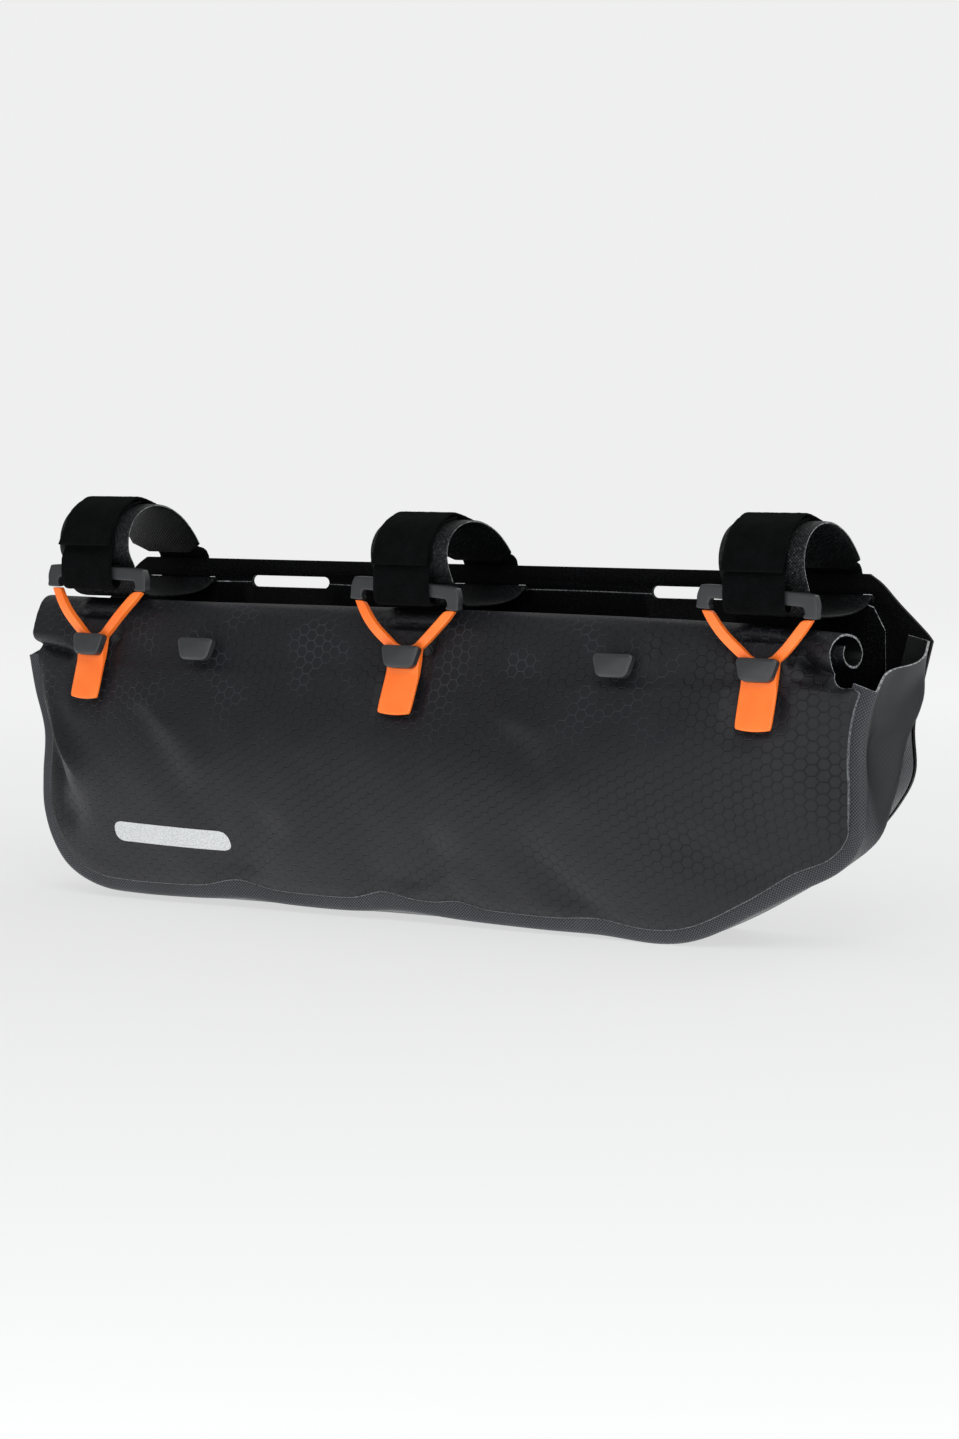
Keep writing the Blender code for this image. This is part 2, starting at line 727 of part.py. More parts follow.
def bridge(number, x):
    x += BRIDGE_OFFSET
    half = BRIDGE_WIDTH / 2.0
    inner = half - POST_WIDTH
    bar_low = BRIDGE_TOP_Z - BAR_HEIGHT
    height = BRIDGE_TOP_Z - BRIDGE_LOW_Z
    corner = HOLLOW_CORNER * POST_WIDTH
    right = [(half - i * POST_WIDTH, BRIDGE_LOW_Z + up * height) for i, up in BRIDGE_OUTLINE]
    hollow = ((inner, bar_low - corner), (inner - corner, bar_low))
    outline = [(x + px, pz) for px, pz in right]
    outline += [(x - px, pz) for px, pz in right[::-1]]
    outline += [(x - px, pz) for px, pz in hollow]
    outline += [(x + px, pz) for px, pz in hollow[::-1]]
    made = prism(
        "bridge_%d" % number, outline, BRIDGE_Y - BRIDGE_THICKNESS / 2.0,
        BRIDGE_Y + BRIDGE_THICKNESS / 2.0, (0.020, 0.021, 0.023), 0.45,
    )
    edge = made.modifiers.new("edges", "BEVEL")
    edge.width = BRIDGE_EDGE * MM
    edge.segments = 1
    edge.limit_method = "ANGLE"
    edge.angle_limit = EDGE_ANGLE
    return made


def tilted(x, across, up, away):
    """A point on a hook: across and up in the plane of its pad, away from the fabric."""
    y = panel_y(x, HOOK_Z)
    return (
        x + across,
        y + up * math.sin(HOOK_TILT) - away * math.cos(HOOK_TILT),
        HOOK_Z + up * math.cos(HOOK_TILT) + away * math.sin(HOOK_TILT),
    )


def ring_points(x, top_half, low_half, half_height, away):
    """Twelve points round a rounded trapezoid."""
    corners = (
        (low_half, -half_height), (top_half, half_height),
        (-top_half, half_height), (-low_half, -half_height),
    )
    points = []
    cut = HOOK_ROUNDING * half_height
    for i, point in enumerate(corners):
        before = np.array(corners[i - 1], float)
        here = np.array(point, float)
        after = np.array(corners[(i + 1) % 4], float)
        one = (before - here) / np.linalg.norm(before - here)
        two = (after - here) / np.linalg.norm(after - here)
        near = here + (one + two) * cut * CORNER_PULL
        for p in (here + one * cut, near, here + two * cut):
            points.append(tilted(x, p[0], p[1], away))
    return np.array(points)


def hook(number, x):
    stem_w, stem_h = HOOK_STEM_WIDTH / 2.0, HOOK_STEM_HEIGHT / 2.0
    top, low, high = HOOK_TOP_WIDTH / 2.0, HOOK_LOW_WIDTH / 2.0, HOOK_HEIGHT / 2.0
    start = CLEARANCE
    under = start + HOOK_STEM
    rings = [
        ring_points(x, stem_w, stem_w, stem_h, start),
        ring_points(x, stem_w, stem_w, stem_h, under),
        ring_points(x, top - HOOK_UNDERSIDE, low - HOOK_UNDERSIDE, high - HOOK_UNDERSIDE, under),
        ring_points(x, top, low, high, under + HOOK_EDGE),
        ring_points(x, top, low, high, under + HOOK_CAP - HOOK_EDGE),
        ring_points(x, top - HOOK_EDGE, low - HOOK_EDGE, high - HOOK_EDGE, under + HOOK_CAP),
    ]
    return loft("hook_%d" % number, rings, (0.022, 0.023, 0.026), 0.42)


def pull(number, x, tab_lean):
    """The elastic pull: two arms, a ring round the hook stem and a finger tab."""
    middle = CLEARANCE + PULL_PLAY + PULL_THICKNESS / 2.0
    hole_w = HOOK_STEM_WIDTH / 2.0 + PULL_PLAY
    hole_h = HOOK_STEM_HEIGHT / 2.0 + PULL_PLAY
    top_z = BRIDGE_LOW_Z - CLEARANCE
    arm_x = BRIDGE_WIDTH / 2.0 - ARM_INSET
    ring_z = HOOK_Z + middle * math.sin(HOOK_TILT)
    points = []

    def place(across, z, y=None):
        if y is None:
            up = (z - ring_z) / math.cos(HOOK_TILT)
            y = tilted(x, 0.0, up, middle)[1]
        points.append((x + across, y, z))
        return len(points) - 1

    def around(outline, width, up, down, top):
        """Places a closed outline from its right half and the middle of its top and bottom."""
        half = [(i * width, ring_z + k * (up if k > 0.0 else down)) for i, k in outline]
        closed = half + [(0.0, ring_z + top * up)] + [(-i, z) for i, z in half[::-1]]
        return [place(i, z) for i, z in closed + [(0.0, ring_z - down)]]

    high, low = ring_z + RING_UP, ring_z - RING_DOWN
    outer = around(RING_OUTLINE, RING_HALF_WIDTH, RING_UP, RING_DOWN, RING_TOP)
    inner = around(HOLE_OUTLINE, hole_w, hole_h, hole_h, 1.0)
    faces = []
    for k in range(len(outer)):
        n = (k + 1) % len(outer)
        faces.append((outer[k], outer[n], inner[n], inner[k]))

    ring_y = tilted(x, 0.0, RING_UP / math.cos(HOOK_TILT), middle)[1]
    for side, base in ((1, (outer[2], outer[3])), (-1, (outer[6], outer[5]))):
        last = base
        root = np.array([ARM_ROOT[0] * RING_HALF_WIDTH, ring_z + ARM_ROOT[1] * RING_UP])
        tip = np.array([arm_x, top_z])
        way = (tip - root) / np.linalg.norm(tip - root)
        square = np.array([way[1], -way[0]]) * ARM_WIDTH / 2.0
        for t in ARM_STEPS:
            centre = root + t * (tip - root)
            centre = centre + square * (ARM_BOW * math.sin(math.pi * t))
            rise = max(0.0, (t - ARM_STAYS_LOW) / (1.0 - ARM_STAYS_LOW))
            y = ring_y + (BRIDGE_Y - ring_y) * rise
            if t == 1.0:
                a = place(side * (centre[0] + ARM_WIDTH / 2.0), top_z, y)
                b = place(side * (centre[0] - ARM_WIDTH / 2.0), top_z, y)
            else:
                far, near = centre + square, centre - square
                a = place(side * far[0], far[1], y)
                b = place(side * near[0], near[1], y)
            faces.append((last[0], a, b, last[1]))
            last = (a, b)

    last = (outer[0], outer[9], outer[8])
    half = TAB_WIDTH / 2.0
    for t, narrow in TAB_ROWS:
        z = low + t * (TAB_END_Z - low)
        lean = -tab_lean * t
        near = [(k, dz) for k in (-1, 0, 1) for dz in (-TAB_REACH, 0.0, TAB_REACH)]
        reach = [panel_y(x + lean + k * half, z + dz) for k, dz in near]
        y = min(min(reach) - TAB_CLEAR - PULL_THICKNESS / 2.0, points[last[1]][1])
        drop = TAB_BOW if t == 1.0 else 0.0
        now = (
            place(lean + half - narrow, z, y), place(lean, z - drop, y),
            place(lean - half + narrow, z, y),
        )
        faces.append((last[0], last[1], now[1], now[0]))
        faces.append((last[1], last[2], now[2], now[1]))
        last = now

    made = make_object("pull_%d" % number, points, faces, (0.95, 0.21, 0.03), 0.5)
    solid = made.modifiers.new("thickness", "SOLIDIFY")
    solid.thickness = PULL_THICKNESS * MM
    solid.offset = 0.0
    solid.use_even_offset = False
    edge = made.modifiers.new("edges", "BEVEL")
    edge.width = PULL_EDGE * MM
    edge.segments = 1
    edge.limit_method = "ANGLE"
    edge.angle_limit = EDGE_ANGLE
    return made


clear_scene()
front_panel()
gusset()
back_panel()
for index, (place_share, arch_top, tab_lean) in enumerate(STRAPS):
    strap_set(index + 1, place_share, arch_top)
    bridge(index + 1, place_share * STRAP_PITCH)
    pull(index + 1, place_share * STRAP_PITCH, tab_lean)
for index, hook_x in enumerate(hook_positions()):
    hook(index + 1, hook_x)
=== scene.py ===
# %% [markdown]
# # A roll-top bag for a bicycle frame
# The bag hangs under a bicycle's top tube. Its body is coated fabric welded to a channel-shaped
# gusset, its mouth is rolled back, three hook-and-loop sets hold it on the tube, and three orange
# elastic pulls keep the roll shut on plastic hooks.
# Every piece below is made in metres in the same place as the solid it stands for. Tables are in
# millimetres in the bag's own frame, and the last step of each piece moves it by SHIFT.

# %% Load the fixed frame
import math
import bpy
import bmesh
import numpy as np
from mathutils import Matrix, Vector


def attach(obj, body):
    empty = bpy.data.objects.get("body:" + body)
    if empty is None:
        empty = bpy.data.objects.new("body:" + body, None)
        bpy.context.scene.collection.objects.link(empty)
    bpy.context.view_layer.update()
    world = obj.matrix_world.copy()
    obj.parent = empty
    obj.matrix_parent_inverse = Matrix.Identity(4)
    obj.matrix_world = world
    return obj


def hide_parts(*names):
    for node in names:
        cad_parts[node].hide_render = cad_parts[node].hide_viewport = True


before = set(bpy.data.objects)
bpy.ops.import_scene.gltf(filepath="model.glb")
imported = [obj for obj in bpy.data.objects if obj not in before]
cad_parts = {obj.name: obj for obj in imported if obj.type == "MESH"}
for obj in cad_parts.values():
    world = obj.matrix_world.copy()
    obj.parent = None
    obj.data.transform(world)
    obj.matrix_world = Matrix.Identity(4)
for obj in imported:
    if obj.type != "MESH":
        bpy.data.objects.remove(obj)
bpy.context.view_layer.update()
print("nodes:", len(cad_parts))

# %% [markdown]
# ## Sizes
# Most of these are the sizes and tables that the solids were built from, used here at a finer step,
# so each piece lies where its solid is. The tables of the straps and a few sizes of the fittings
# follow the object seen more closely than the solids do, by a few millimetres.

# %% Sizes of the body
MM = 0.001
SHIFT = np.array([-1.26, 6.79, 2.8])
HALF_LENGTH = 203.0
MOUTH_FRONT_Z = 102.0
MOUTH_BACK_Z = 118.0
FLANGE_TOP_Z = 144.0
SAG = 2.8
SEAM_FRONT_Y = -23.7
SEAM_BACK_Y = 30.0
DEPTH = SEAM_BACK_Y - SEAM_FRONT_Y
FABRIC = 1.2
CLEARANCE = 0.3
LIP = 10.0
LIP_CORNER = 2.0
SEAM_BORDER = 5.6
BELLY = 15.0
PANEL_OUTER_Y = SEAM_FRONT_Y - CLEARANCE - FABRIC
ROLL_RIGHT_X = 184.5
ROLL_TAPER_Z = 100.5
ROLL_TAPER_TOP_Z = 106.5
FRONT_RISE = 1.5
PANEL_CLOTH = 0.85
GUSSET_WALL = 0.9
BACK_SHEET = 2.0
# where the cloth maps have their zero, in mm: kept positive, because the cell pattern needs that
CLOTH_ZERO = 300.0
STRIP_ZERO = 50.0
FLAT_ZERO = 400.0
STRAP_ZERO = 40.0

# %% Sizes of the fittings
HOOK_Z = 107.9
HOOK_TILT = math.radians(12.0)
PAD_HALF = 7.5
PAD_LOW = HOOK_Z - PAD_HALF
PAD_HIGH = HOOK_Z + PAD_HALF
HOOK_TOP_WIDTH = 18.4
HOOK_LOW_WIDTH = 13.0
HOOK_HEIGHT = 9.2
HOOK_CAP = 3.0
HOOK_STEM_WIDTH = 8.0
HOOK_STEM_HEIGHT = 4.6
PULL_THICKNESS = 3.2
PULL_PLAY = 0.4
HOOK_STEM = PULL_THICKNESS + 2.0 * PULL_PLAY
STRAP_PITCH = 158.0
SPARE_HOOK_X = 99.0
HOOK_XS = (-STRAP_PITCH, -SPARE_HOOK_X, 0.0, SPARE_HOOK_X, STRAP_PITCH)
BAND_WIDTH = 36.0
BAND_OFFSET = 1.5
BAND_END_WIDTH = 23.0
BAND_CHAMFER = 4.5
STRAP_WIDTH = 26.0
STRAP = 1.2
LAYER = STRAP + CLEARANCE
USED_SLOT_LENGTH = BAND_WIDTH + 1.5
SLOT_LENGTH = USED_SLOT_LENGTH + 2.0 * BAND_OFFSET
SLOT_HEIGHT = 5.0
USED_SLOT_HEIGHT = 3.4
USED_SLOT_DROP = 0.3
SLOT_Z = 134.5
ARCH_SPRING_Z = 144.0
ARCH_DRAWN_Z = 165.0
BRIDGE_WIDTH = 52.0
BRIDGE_OFFSET = 1.0
BRIDGE_LOW_Z = 129.4
BRIDGE_TOP_Z = 139.3
BAR_HEIGHT = 5.5
POST_WIDTH = 6.4
ARM_INSET = 4.4
BRIDGE_Y = -35.8
BRIDGE_THICKNESS = 4.4
ARM_WIDTH = 4.0
RING_HALF_WIDTH = 7.4
RING_UP = 5.2
RING_DOWN = 5.6
TAB_WIDTH = 15.6
TAB_END_Z = 86.3
TAB_CLEAR = 0.5

# %% Tables of the body
# front x, front z, back x, back z, and the swell of the wall at a quarter, half and three quarters
GUSSET_ROWS = (
    (-0.995, 1.000, -1.000, 0.983, 0.000, -0.019, 0.019),
    (-0.980, 0.853, -0.985, 0.797, -0.019, -0.056, 0.037),
    (-0.956, 0.676, -0.961, 0.627, 0.019, -0.019, 0.056),
    (-0.961, 0.490, -0.961, 0.458, 0.037, 0.037, 0.037),
    (-0.959, 0.343, -0.959, 0.314, 0.037, 0.037, 0.019),
    (-0.935, 0.201, -0.935, 0.182, 0.019, 0.019, 0.019),
    (-0.889, 0.088, -0.889, 0.081, 0.009, 0.009, 0.009),
    (-0.810, 0.018, -0.810, 0.017, 0.000, 0.000, 0.000),
    (-0.709, 0.000, -0.709, -0.008, 0.000, 0.000, 0.000),
    (-0.552, 0.002, -0.552, -0.014, 0.000, 0.000, 0.000),
    (-0.438, 0.014, -0.438, -0.008, 0.000, 0.000, 0.000),
    (-0.305, 0.003, -0.305, -0.017, 0.000, 0.000, 0.000),
    (-0.172, 0.002, -0.172, -0.019, 0.000, 0.000, 0.000),
    (-0.054, 0.018, -0.044, -0.012, 0.000, 0.000, 0.000),
    (0.099, 0.000, 0.099, -0.019, 0.000, 0.000, 0.000),
    (0.271, -0.010, 0.271, -0.020, 0.000, 0.000, 0.000),
    (0.409, -0.012, 0.409, -0.017, 0.000, 0.000, 0.000),
    (0.542, -0.027, 0.517, -0.024, 0.000, 0.000, 0.000),
    (0.635, 0.008, 0.606, 0.012, 0.000, 0.000, 0.000),
    (0.739, 0.111, 0.709, 0.105, 0.011, 0.015, 0.011),
    (0.840, 0.218, 0.796, 0.203, -0.011, -0.015, 0.007),
    (0.926, 0.310, 0.877, 0.326, 0.015, 0.022, 0.011),
    (0.970, 0.426, 0.936, 0.449, 0.037, 0.028, -0.037),
    (0.975, 0.588, 0.966, 0.559, 0.019, 0.056, -0.037),
    (0.973, 0.745, 0.963, 0.712, -0.037, 0.056, 0.056),
    (0.980, 0.882, 0.980, 0.856, -0.046, 0.037, 0.093),
    (0.998, 0.995, 1.000, 1.000, -0.028, 0.056, 0.065),
)
LEFT_TURN_ROW = 4
RIGHT_TURN_ROW = 23
FLOOR_ROWS = (8, 17)
# x and z of the flange's upper corner
FLANGE_CORNER = ((0.985, 0.845), (0.928, 0.922), (0.894, 0.972), (0.866, 1.000))
# x, swell of the face, swell at the hooks
PANEL_SWELL = (
    (-0.928, 0.00, 0.00), (-0.862, 0.38, 0.23), (-0.778, 0.66, 0.40), (-0.640, 0.86, 0.60),
    (-0.488, 0.97, 0.77), (-0.246, 1.02, 0.70), (0.000, 1.00, 0.57), (0.246, 1.02, 0.70),
    (0.488, 0.97, 0.77), (0.640, 0.86, 0.60), (0.778, 0.64, 0.40), (0.870, 0.38, 0.20),
    (0.953, 0.00, 0.00),
)
# x and z of both ends as shares, then width and rise in mm
FOLDS = (
    (-0.955, 0.84, -0.845, 0.52, 7.0, 2.6),
    (-0.930, 0.62, -0.860, 0.36, 9.0, -3.2),
    (-0.640, 0.98, -0.480, 0.60, 9.0, 1.6),
    (-0.600, 0.78, -0.520, 0.52, 9.0, -1.4),
    (0.110, 0.98, 0.330, 0.68, 11.0, -2.6),
    (0.260, 0.90, 0.420, 0.56, 12.0, 1.6),
    (0.830, 0.92, 0.945, 0.60, 7.0, -2.2),
    (0.790, 0.80, 0.880, 0.50, 9.0, 1.4),
    (-0.450, 0.05, -0.330, 0.34, 9.0, -2.4),
    (-0.060, 0.05, 0.060, 0.30, 9.0, -2.6),
    (0.410, 0.03, 0.300, 0.32, 10.0, -2.4),
    (0.800, 0.25, 0.640, 0.40, 9.0, -2.2),
)
SEAM_WAVES = (
    (-0.448, 12.0, 2.6), (-0.090, 9.0, 2.4), (0.090, 9.0, 2.2), (0.409, 12.0, 1.2), (0.830, 12.0, 1.6),
)
ROLL_DEPTH = 30.0
ROLL_HEIGHT = 10.0
ROLL_ROWS = (
    (0.00, 0.00), (0.07, 0.50), (0.26, 0.94), (0.52, 1.00), (0.82, 0.70), (0.99, 0.05),
    (0.97, -0.55), (0.80, -0.90), (0.58, -0.82), (0.42, -0.45), (0.37, 0.00), (0.42, 0.38),
)
ROLL_LIFT_LEFT = 1.22
ROLL_LIFT_RIGHT = 0.72

# %% Tables of the straps
# x as a share of STRAP_PITCH, top of the arch, lean of the finger tab, how far the bridge is
# lifted, moved and turned (degrees), rise of the strap's free end, turn of hook and pull (degrees)
STRAPS = (
    (-1.0, 172.0, -0.9, 3.4, 3.2, 1.5, 5.2, -8.5),
    (0.0, 167.4, 0.3, 0.6, 0.0, 4.4, 0.0, 0.0),
    (1.0, 169.2, -0.8, 1.4, 0.0, 3.6, 0.6, 0.0),
)
BAND_LINE = (
    (33.5, 120.0), (33.5, 130.0), (33.1, 133.5), (31.4, 135.1), (28.8, 134.7), (24.0, 132.0),
    (16.0, 130.0), (2.0, 129.0), (-12.0, 129.2), (-21.0, 130.0), (-26.4, 132.2), (-29.4, 135.6),
    (-31.2, 139.6), (-33.8, 144.4), (-35.4, 149.5), (-34.8, 155.0), (-31.0, 160.2), (-24.5, 163.6),
    (-16.0, 165.0), (-6.0, 164.0), (4.0, 160.4), (12.0, 155.2), (18.0, 149.6), (20.6, 146.8),
)
# the band goes up with its bridge: first point that does, and the share of the lift for each
BAND_RISES_FROM = 10
BAND_RISE = (0.1, 0.5, 0.9, 0.6)
BAND_ARCH_FROM = 14
STRAP_TOP_AT = 18
STRAP_TURN = (
    (-32.4, 139.2), (-32.4, 134.5), (-33.4, 131.2), (-35.8, 129.8), (-38.2, 131.2),
    (-39.2, 134.6), (-39.2, 140.6), (-38.6, 145.2),
)
OUTER_TAIL = ((26.5, 149.0), (31.6, 147.6), (34.4, 144.0), (35.0, 138.0), (35.0, 128.0), (35.0, 118.0))
OUTER_FREE_END = (-41.4, 146.8)

# %% [markdown]
# ## Tools for lines and sheets
# A fabric or strap is a thin sheet: a grid of points on its outer face, the same grid moved in by
# its thickness, and a rim that closes the two. The rim keeps its own material, because a cut edge
# of coated fabric shows the pale core. Each sheet also carries a UV map in millimetres of cloth,
# so that a weave keeps its real scale and follows every fold.

# %% Lines
def smooth_line(rows, steps):
    rows = np.asarray(rows, float)
    padded = np.vstack([2 * rows[0] - rows[1], rows, 2 * rows[-1] - rows[-2]])
    points = []
    for i in range(len(rows) - 1):
        a, b, c, d = padded[i : i + 4]
        for k in range(steps):
            t = k / steps
            points.append(0.5 * (2 * b + (c - a) * t + (2 * a - 5 * b + 4 * c - d) * t**2
                                 + (3 * b - a - 3 * c + d) * t**3))
    points.append(rows[-1])
    return np.array(points)


def lengths_along(line):
    return np.concatenate([[0.0], np.cumsum(np.linalg.norm(np.diff(line, axis=0), axis=1))])


def spread(line, count):
    line = np.asarray(line, float)
    along = lengths_along(line)
    wanted = np.linspace(0.0, along[-1], count)
    return np.column_stack([np.interp(wanted, along, line[:, k]) for k in range(line.shape[1])])


def normals_2d(line):
    way = np.gradient(np.asarray(line, float), axis=0)
    way /= np.linalg.norm(way, axis=1)[:, None]
    return np.column_stack([way[:, 1], -way[:, 0]])


def ease(value):
    t = np.clip(value, 0.0, 1.0)
    return t * t * (3.0 - 2.0 * t)


def ripple(x, z, seed):
    """Soft uneven waves between -1 and 1, the same on every run."""
    total = np.zeros_like(x)
    for k in range(7):
        angle = 2.399 * (k + seed)
        pitch = 17.0 + 9.0 * k
        total = total + np.sin((x * math.cos(angle) + z * math.sin(angle)) / pitch * 6.283 + 1.7 * k + seed)
    return total / 7.0


# %% Objects
def new_object(name, points, faces, materials, slots=None, uv=None, smooth_angle=40.0):
    """A piece with its place in its mesh: points in mm of the bag's own frame."""
    mesh = bpy.data.meshes.new(name)
    placed = (np.asarray(points, float) + SHIFT) * MM
    mesh.from_pydata(placed.tolist(), [], [list(map(int, face)) for face in faces])
    for entry in materials:
        mesh.materials.append(entry)
    if slots is not None:
        mesh.polygons.foreach_set("material_index", np.asarray(slots, np.int32))
    if uv is not None:
        layer = mesh.uv_layers.new(name="cloth")
        corner = np.empty(len(mesh.loops), np.int32)
        mesh.loops.foreach_get("vertex_index", corner)
        layer.data.foreach_set("uv", np.asarray(uv, np.float32)[corner].reshape(-1))
    body = bmesh.new()
    body.from_mesh(mesh)
    bmesh.ops.recalc_face_normals(body, faces=body.faces)
    body.to_mesh(mesh)
    body.free()
    mesh.shade_smooth()
    mesh.set_sharp_from_angle(angle=math.radians(smooth_angle))
    made = bpy.data.objects.new(name, mesh)
    bpy.context.scene.collection.objects.link(made)
    return made


def grid_faces(rows, columns):
    a = (np.arange(rows - 1)[:, None] * columns + np.arange(columns - 1)[None, :]).reshape(-1)
    return np.column_stack([a, a + 1, a + columns + 1, a + columns])


def sheet(name, outer, inner, materials, uv, slot_of=None, welded_rows=0):
    """A closed sheet. Materials: face, back, cut rim, welded rim. slot_of gives each outer face its
    own slot, and the rim of the first welded_rows rows is welded down."""
    rows, columns = outer.shape[:2]
    count = rows * columns
    face = grid_faces(rows, columns)
    rim = list(range(columns)) + [i * columns + columns - 1 for i in range(1, rows)]
    rim += [(rows - 1) * columns + j for j in range(columns - 2, -1, -1)]
    rim += [i * columns for i in range(rows - 2, 0, -1)]
    edge = [(b, a, a + count, b + count) for a, b in zip(rim, rim[1:] + rim[:1])]
    faces = np.vstack([face, face[:, ::-1] + count, np.array(edge)])
    front = np.zeros(len(face), int) if slot_of is None else slot_of.reshape(-1)
    rim_slots = [3 if a // columns < welded_rows else 2 for a in rim]
    slots = np.concatenate([front, np.ones(len(face), int), rim_slots])
    flat = uv.reshape(-1, 2)
    return new_object(name, np.vstack([outer.reshape(-1, 3), inner.reshape(-1, 3)]), faces, materials,
                      slots, np.vstack([flat, flat]))


def grid_normals(grid):
    normal = np.cross(np.gradient(grid, axis=0), np.gradient(grid, axis=1))
    return normal / np.maximum(np.linalg.norm(normal, axis=2), 1e-9)[:, :, None]


def done(piece, slot, *nodes):
    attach(piece, "root")
    if nodes:
        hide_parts(*nodes)
    print(piece.name, len(piece.data.polygons), "faces")
    return piece


# %% [markdown]
# ## Materials
# Each material has the real one's name. Its detail comes from real sizes: hexagon cells 4.5 mm
# across on the front cloth, needle pile on the straps, a fine spark grain on the moulded plastic.
# The weaves of gusset, flange and band are 1.2 to 1.4 mm, a little coarser than real ones, so that
# they show in the picture. Lengths in the node graphs are millimetres of cloth (UV) or metres
# (object), and colours are given in sRGB and turned to linear light.

# %% Node helpers
def srgb(code):
    values = [int(code[i : i + 2], 16) / 255.0 for i in (1, 3, 5)]
    return tuple(v / 12.92 if v <= 0.04045 else ((v + 0.055) / 1.055) ** 2.4 for v in values) + (1.0,)


def add(tree, kind, inputs=None, **settings):
    """One node with its settings, its fixed inputs and its links."""
    made = tree.nodes.new(kind)
    for key, value in settings.items():
        setattr(made, key, value)
    for socket, value in (inputs or {}).items():
        if isinstance(value, bpy.types.NodeSocket):
            tree.links.new(value, made.inputs[socket])
        else:
            made.inputs[socket].default_value = value
    return made


def math_node(tree, operation, *values):
    return add(tree, "ShaderNodeMath", dict(enumerate(values)), operation=operation).outputs[0]


def times(tree, first, second):
    return math_node(tree, "MULTIPLY", first, second)


def vector_node(tree, operation, *values):
    made = add(tree, "ShaderNodeVectorMath", dict(enumerate(values)), operation=operation)
    return made.outputs["Value" if operation == "DOT_PRODUCT" else "Vector"]


def ramp(tree, value, low, high, to_low=0.0, to_high=1.0):
    return add(tree, "ShaderNodeMapRange", {0: value, 1: low, 2: high, 3: to_low, 4: to_high}).outputs[0]


def mixed(tree, share, first, second):
    return add(tree, "ShaderNodeMix", {0: share, 6: first, 7: second}, data_type="RGBA").outputs[2]


def noise(tree, place, scale, detail=3.0, roughness=0.5):
    inputs = {"Vector": place, "Scale": scale, "Detail": detail, "Roughness": roughness}
    return add(tree, "ShaderNodeTexNoise", inputs).outputs["Fac"]


def cloth_place(tree):
    return add(tree, "ShaderNodeUVMap", uv_map="cloth").outputs["UV"]


def object_place(tree):
    return add(tree, "ShaderNodeTexCoord").outputs["Object"]


def bump(tree, height, distance, normal=None):
    inputs = {"Height": height, "Distance": distance}
    if normal is not None:
        inputs["Normal"] = normal
    return add(tree, "ShaderNodeBump", inputs).outputs["Normal"]


def new_material(name, colour, roughness, ior=1.5):
    made = bpy.data.materials.new(name)
    made.use_nodes = True
    shader = made.node_tree.nodes["Principled BSDF"]
    shader.inputs["Base Color"].default_value = srgb(colour)
    shader.inputs["Roughness"].default_value = roughness
    shader.inputs["IOR"].default_value = ior
    made.diffuse_color = srgb(colour)
    return made, made.node_tree, shader


# %% Coated cloth with hexagon cells
HEX_CELL = 4.5
# heights over the hooks, along the cloth, between which the painted glints on the cell lines fade in (painted
# highlight)
GLINTS_FROM, GLINTS_FULL = -42.0, -10.0


def hexagons(tree, place, cell):
    """Distance from a cell's middle, 0 to 0.5, for cells with a flat top, this wide in mm."""
    parts = add(tree, "ShaderNodeSeparateXYZ", {0: place})
    turned = add(tree, "ShaderNodeCombineXYZ", {0: parts.outputs[1], 1: parts.outputs[0]}).outputs[0]
    p = vector_node(tree, "MULTIPLY_ADD", turned, (1 / cell,) * 3, (200.0, 200.0 * 3**0.5, 0.0))
    size, half = (1.0, 3**0.5, 1.0), (0.5, 3**0.5 / 2, 0.0)
    first = vector_node(tree, "SUBTRACT", vector_node(tree, "MODULO", p, size), half)
    moved = vector_node(tree, "ADD", p, half)
    second = vector_node(tree, "SUBTRACT", vector_node(tree, "MODULO", moved, size), half)
    nearer = math_node(tree, "LESS_THAN", vector_node(tree, "DOT_PRODUCT", first, first),
                       vector_node(tree, "DOT_PRODUCT", second, second))
    chosen = add(tree, "ShaderNodeMix", {0: nearer, 4: second, 5: first}, data_type="VECTOR").outputs[1]
    size_of = vector_node(tree, "ABSOLUTE", chosen)
    slanted = vector_node(tree, "DOT_PRODUCT", size_of, (0.5, 3**0.5 / 2, 0.0))
    return math_node(tree, "MAXIMUM", slanted, add(tree, "ShaderNodeSeparateXYZ", {0: size_of}).outputs[0])


def make_hex_cloth():
    """Satin coating over a ripstop of hexagons: the cell lines lie a little lower and darker, and
    here and there, from a little below the hooks up over the roll, a line is painted paler as a glint, a
    painted highlight."""
    made, tree, shader = new_material("coated_hexagon_cloth", "#151619", 0.5)
    place = cloth_place(tree)
    line = ramp(tree, hexagons(tree, place, HEX_CELL), 0.43, 0.475)
    shown = ramp(tree, noise(tree, place, 0.028, 2.0), 0.38, 0.62, 0.25, 1.0)
    tint = mixed(tree, ramp(tree, noise(tree, place, 0.02, 3.0), 0.3, 0.7), srgb("#131418"), srgb("#18191D"))
    dark = mixed(tree, times(tree, line, times(tree, shown, 0.7)), tint, srgb("#060708"))
    height = add(tree, "ShaderNodeSeparateXYZ", {0: place}).outputs[1]
    # painted highlight: on the upper cloth and the roll, patches of the cell lines are painted paler as
    # glints
    upper = ramp(tree, height, CLOTH_ZERO + GLINTS_FROM, CLOTH_ZERO + GLINTS_FULL)
    painted_glints = times(tree, ramp(tree, noise(tree, place, 0.045, 2.0), 0.47, 0.62), upper)
    shade = mixed(tree, times(tree, line, times(tree, painted_glints, 0.8)), dark, srgb("#30333A"))
    tree.links.new(shade, shader.inputs["Base Color"])
    grain = noise(tree, place, 2.2, 2.0)
    rough = math_node(tree, "ADD", ramp(tree, grain, 0.3, 0.7, 0.44, 0.56), times(tree, line, -0.10))
    tree.links.new(rough, shader.inputs["Roughness"])
    sunk = bump(tree, times(tree, line, -1.0), 0.0002)
    tree.links.new(bump(tree, grain, 0.00004, sunk), shader.inputs["Normal"])
    shader.inputs["Specular IOR Level"].default_value = 0.24
    return made


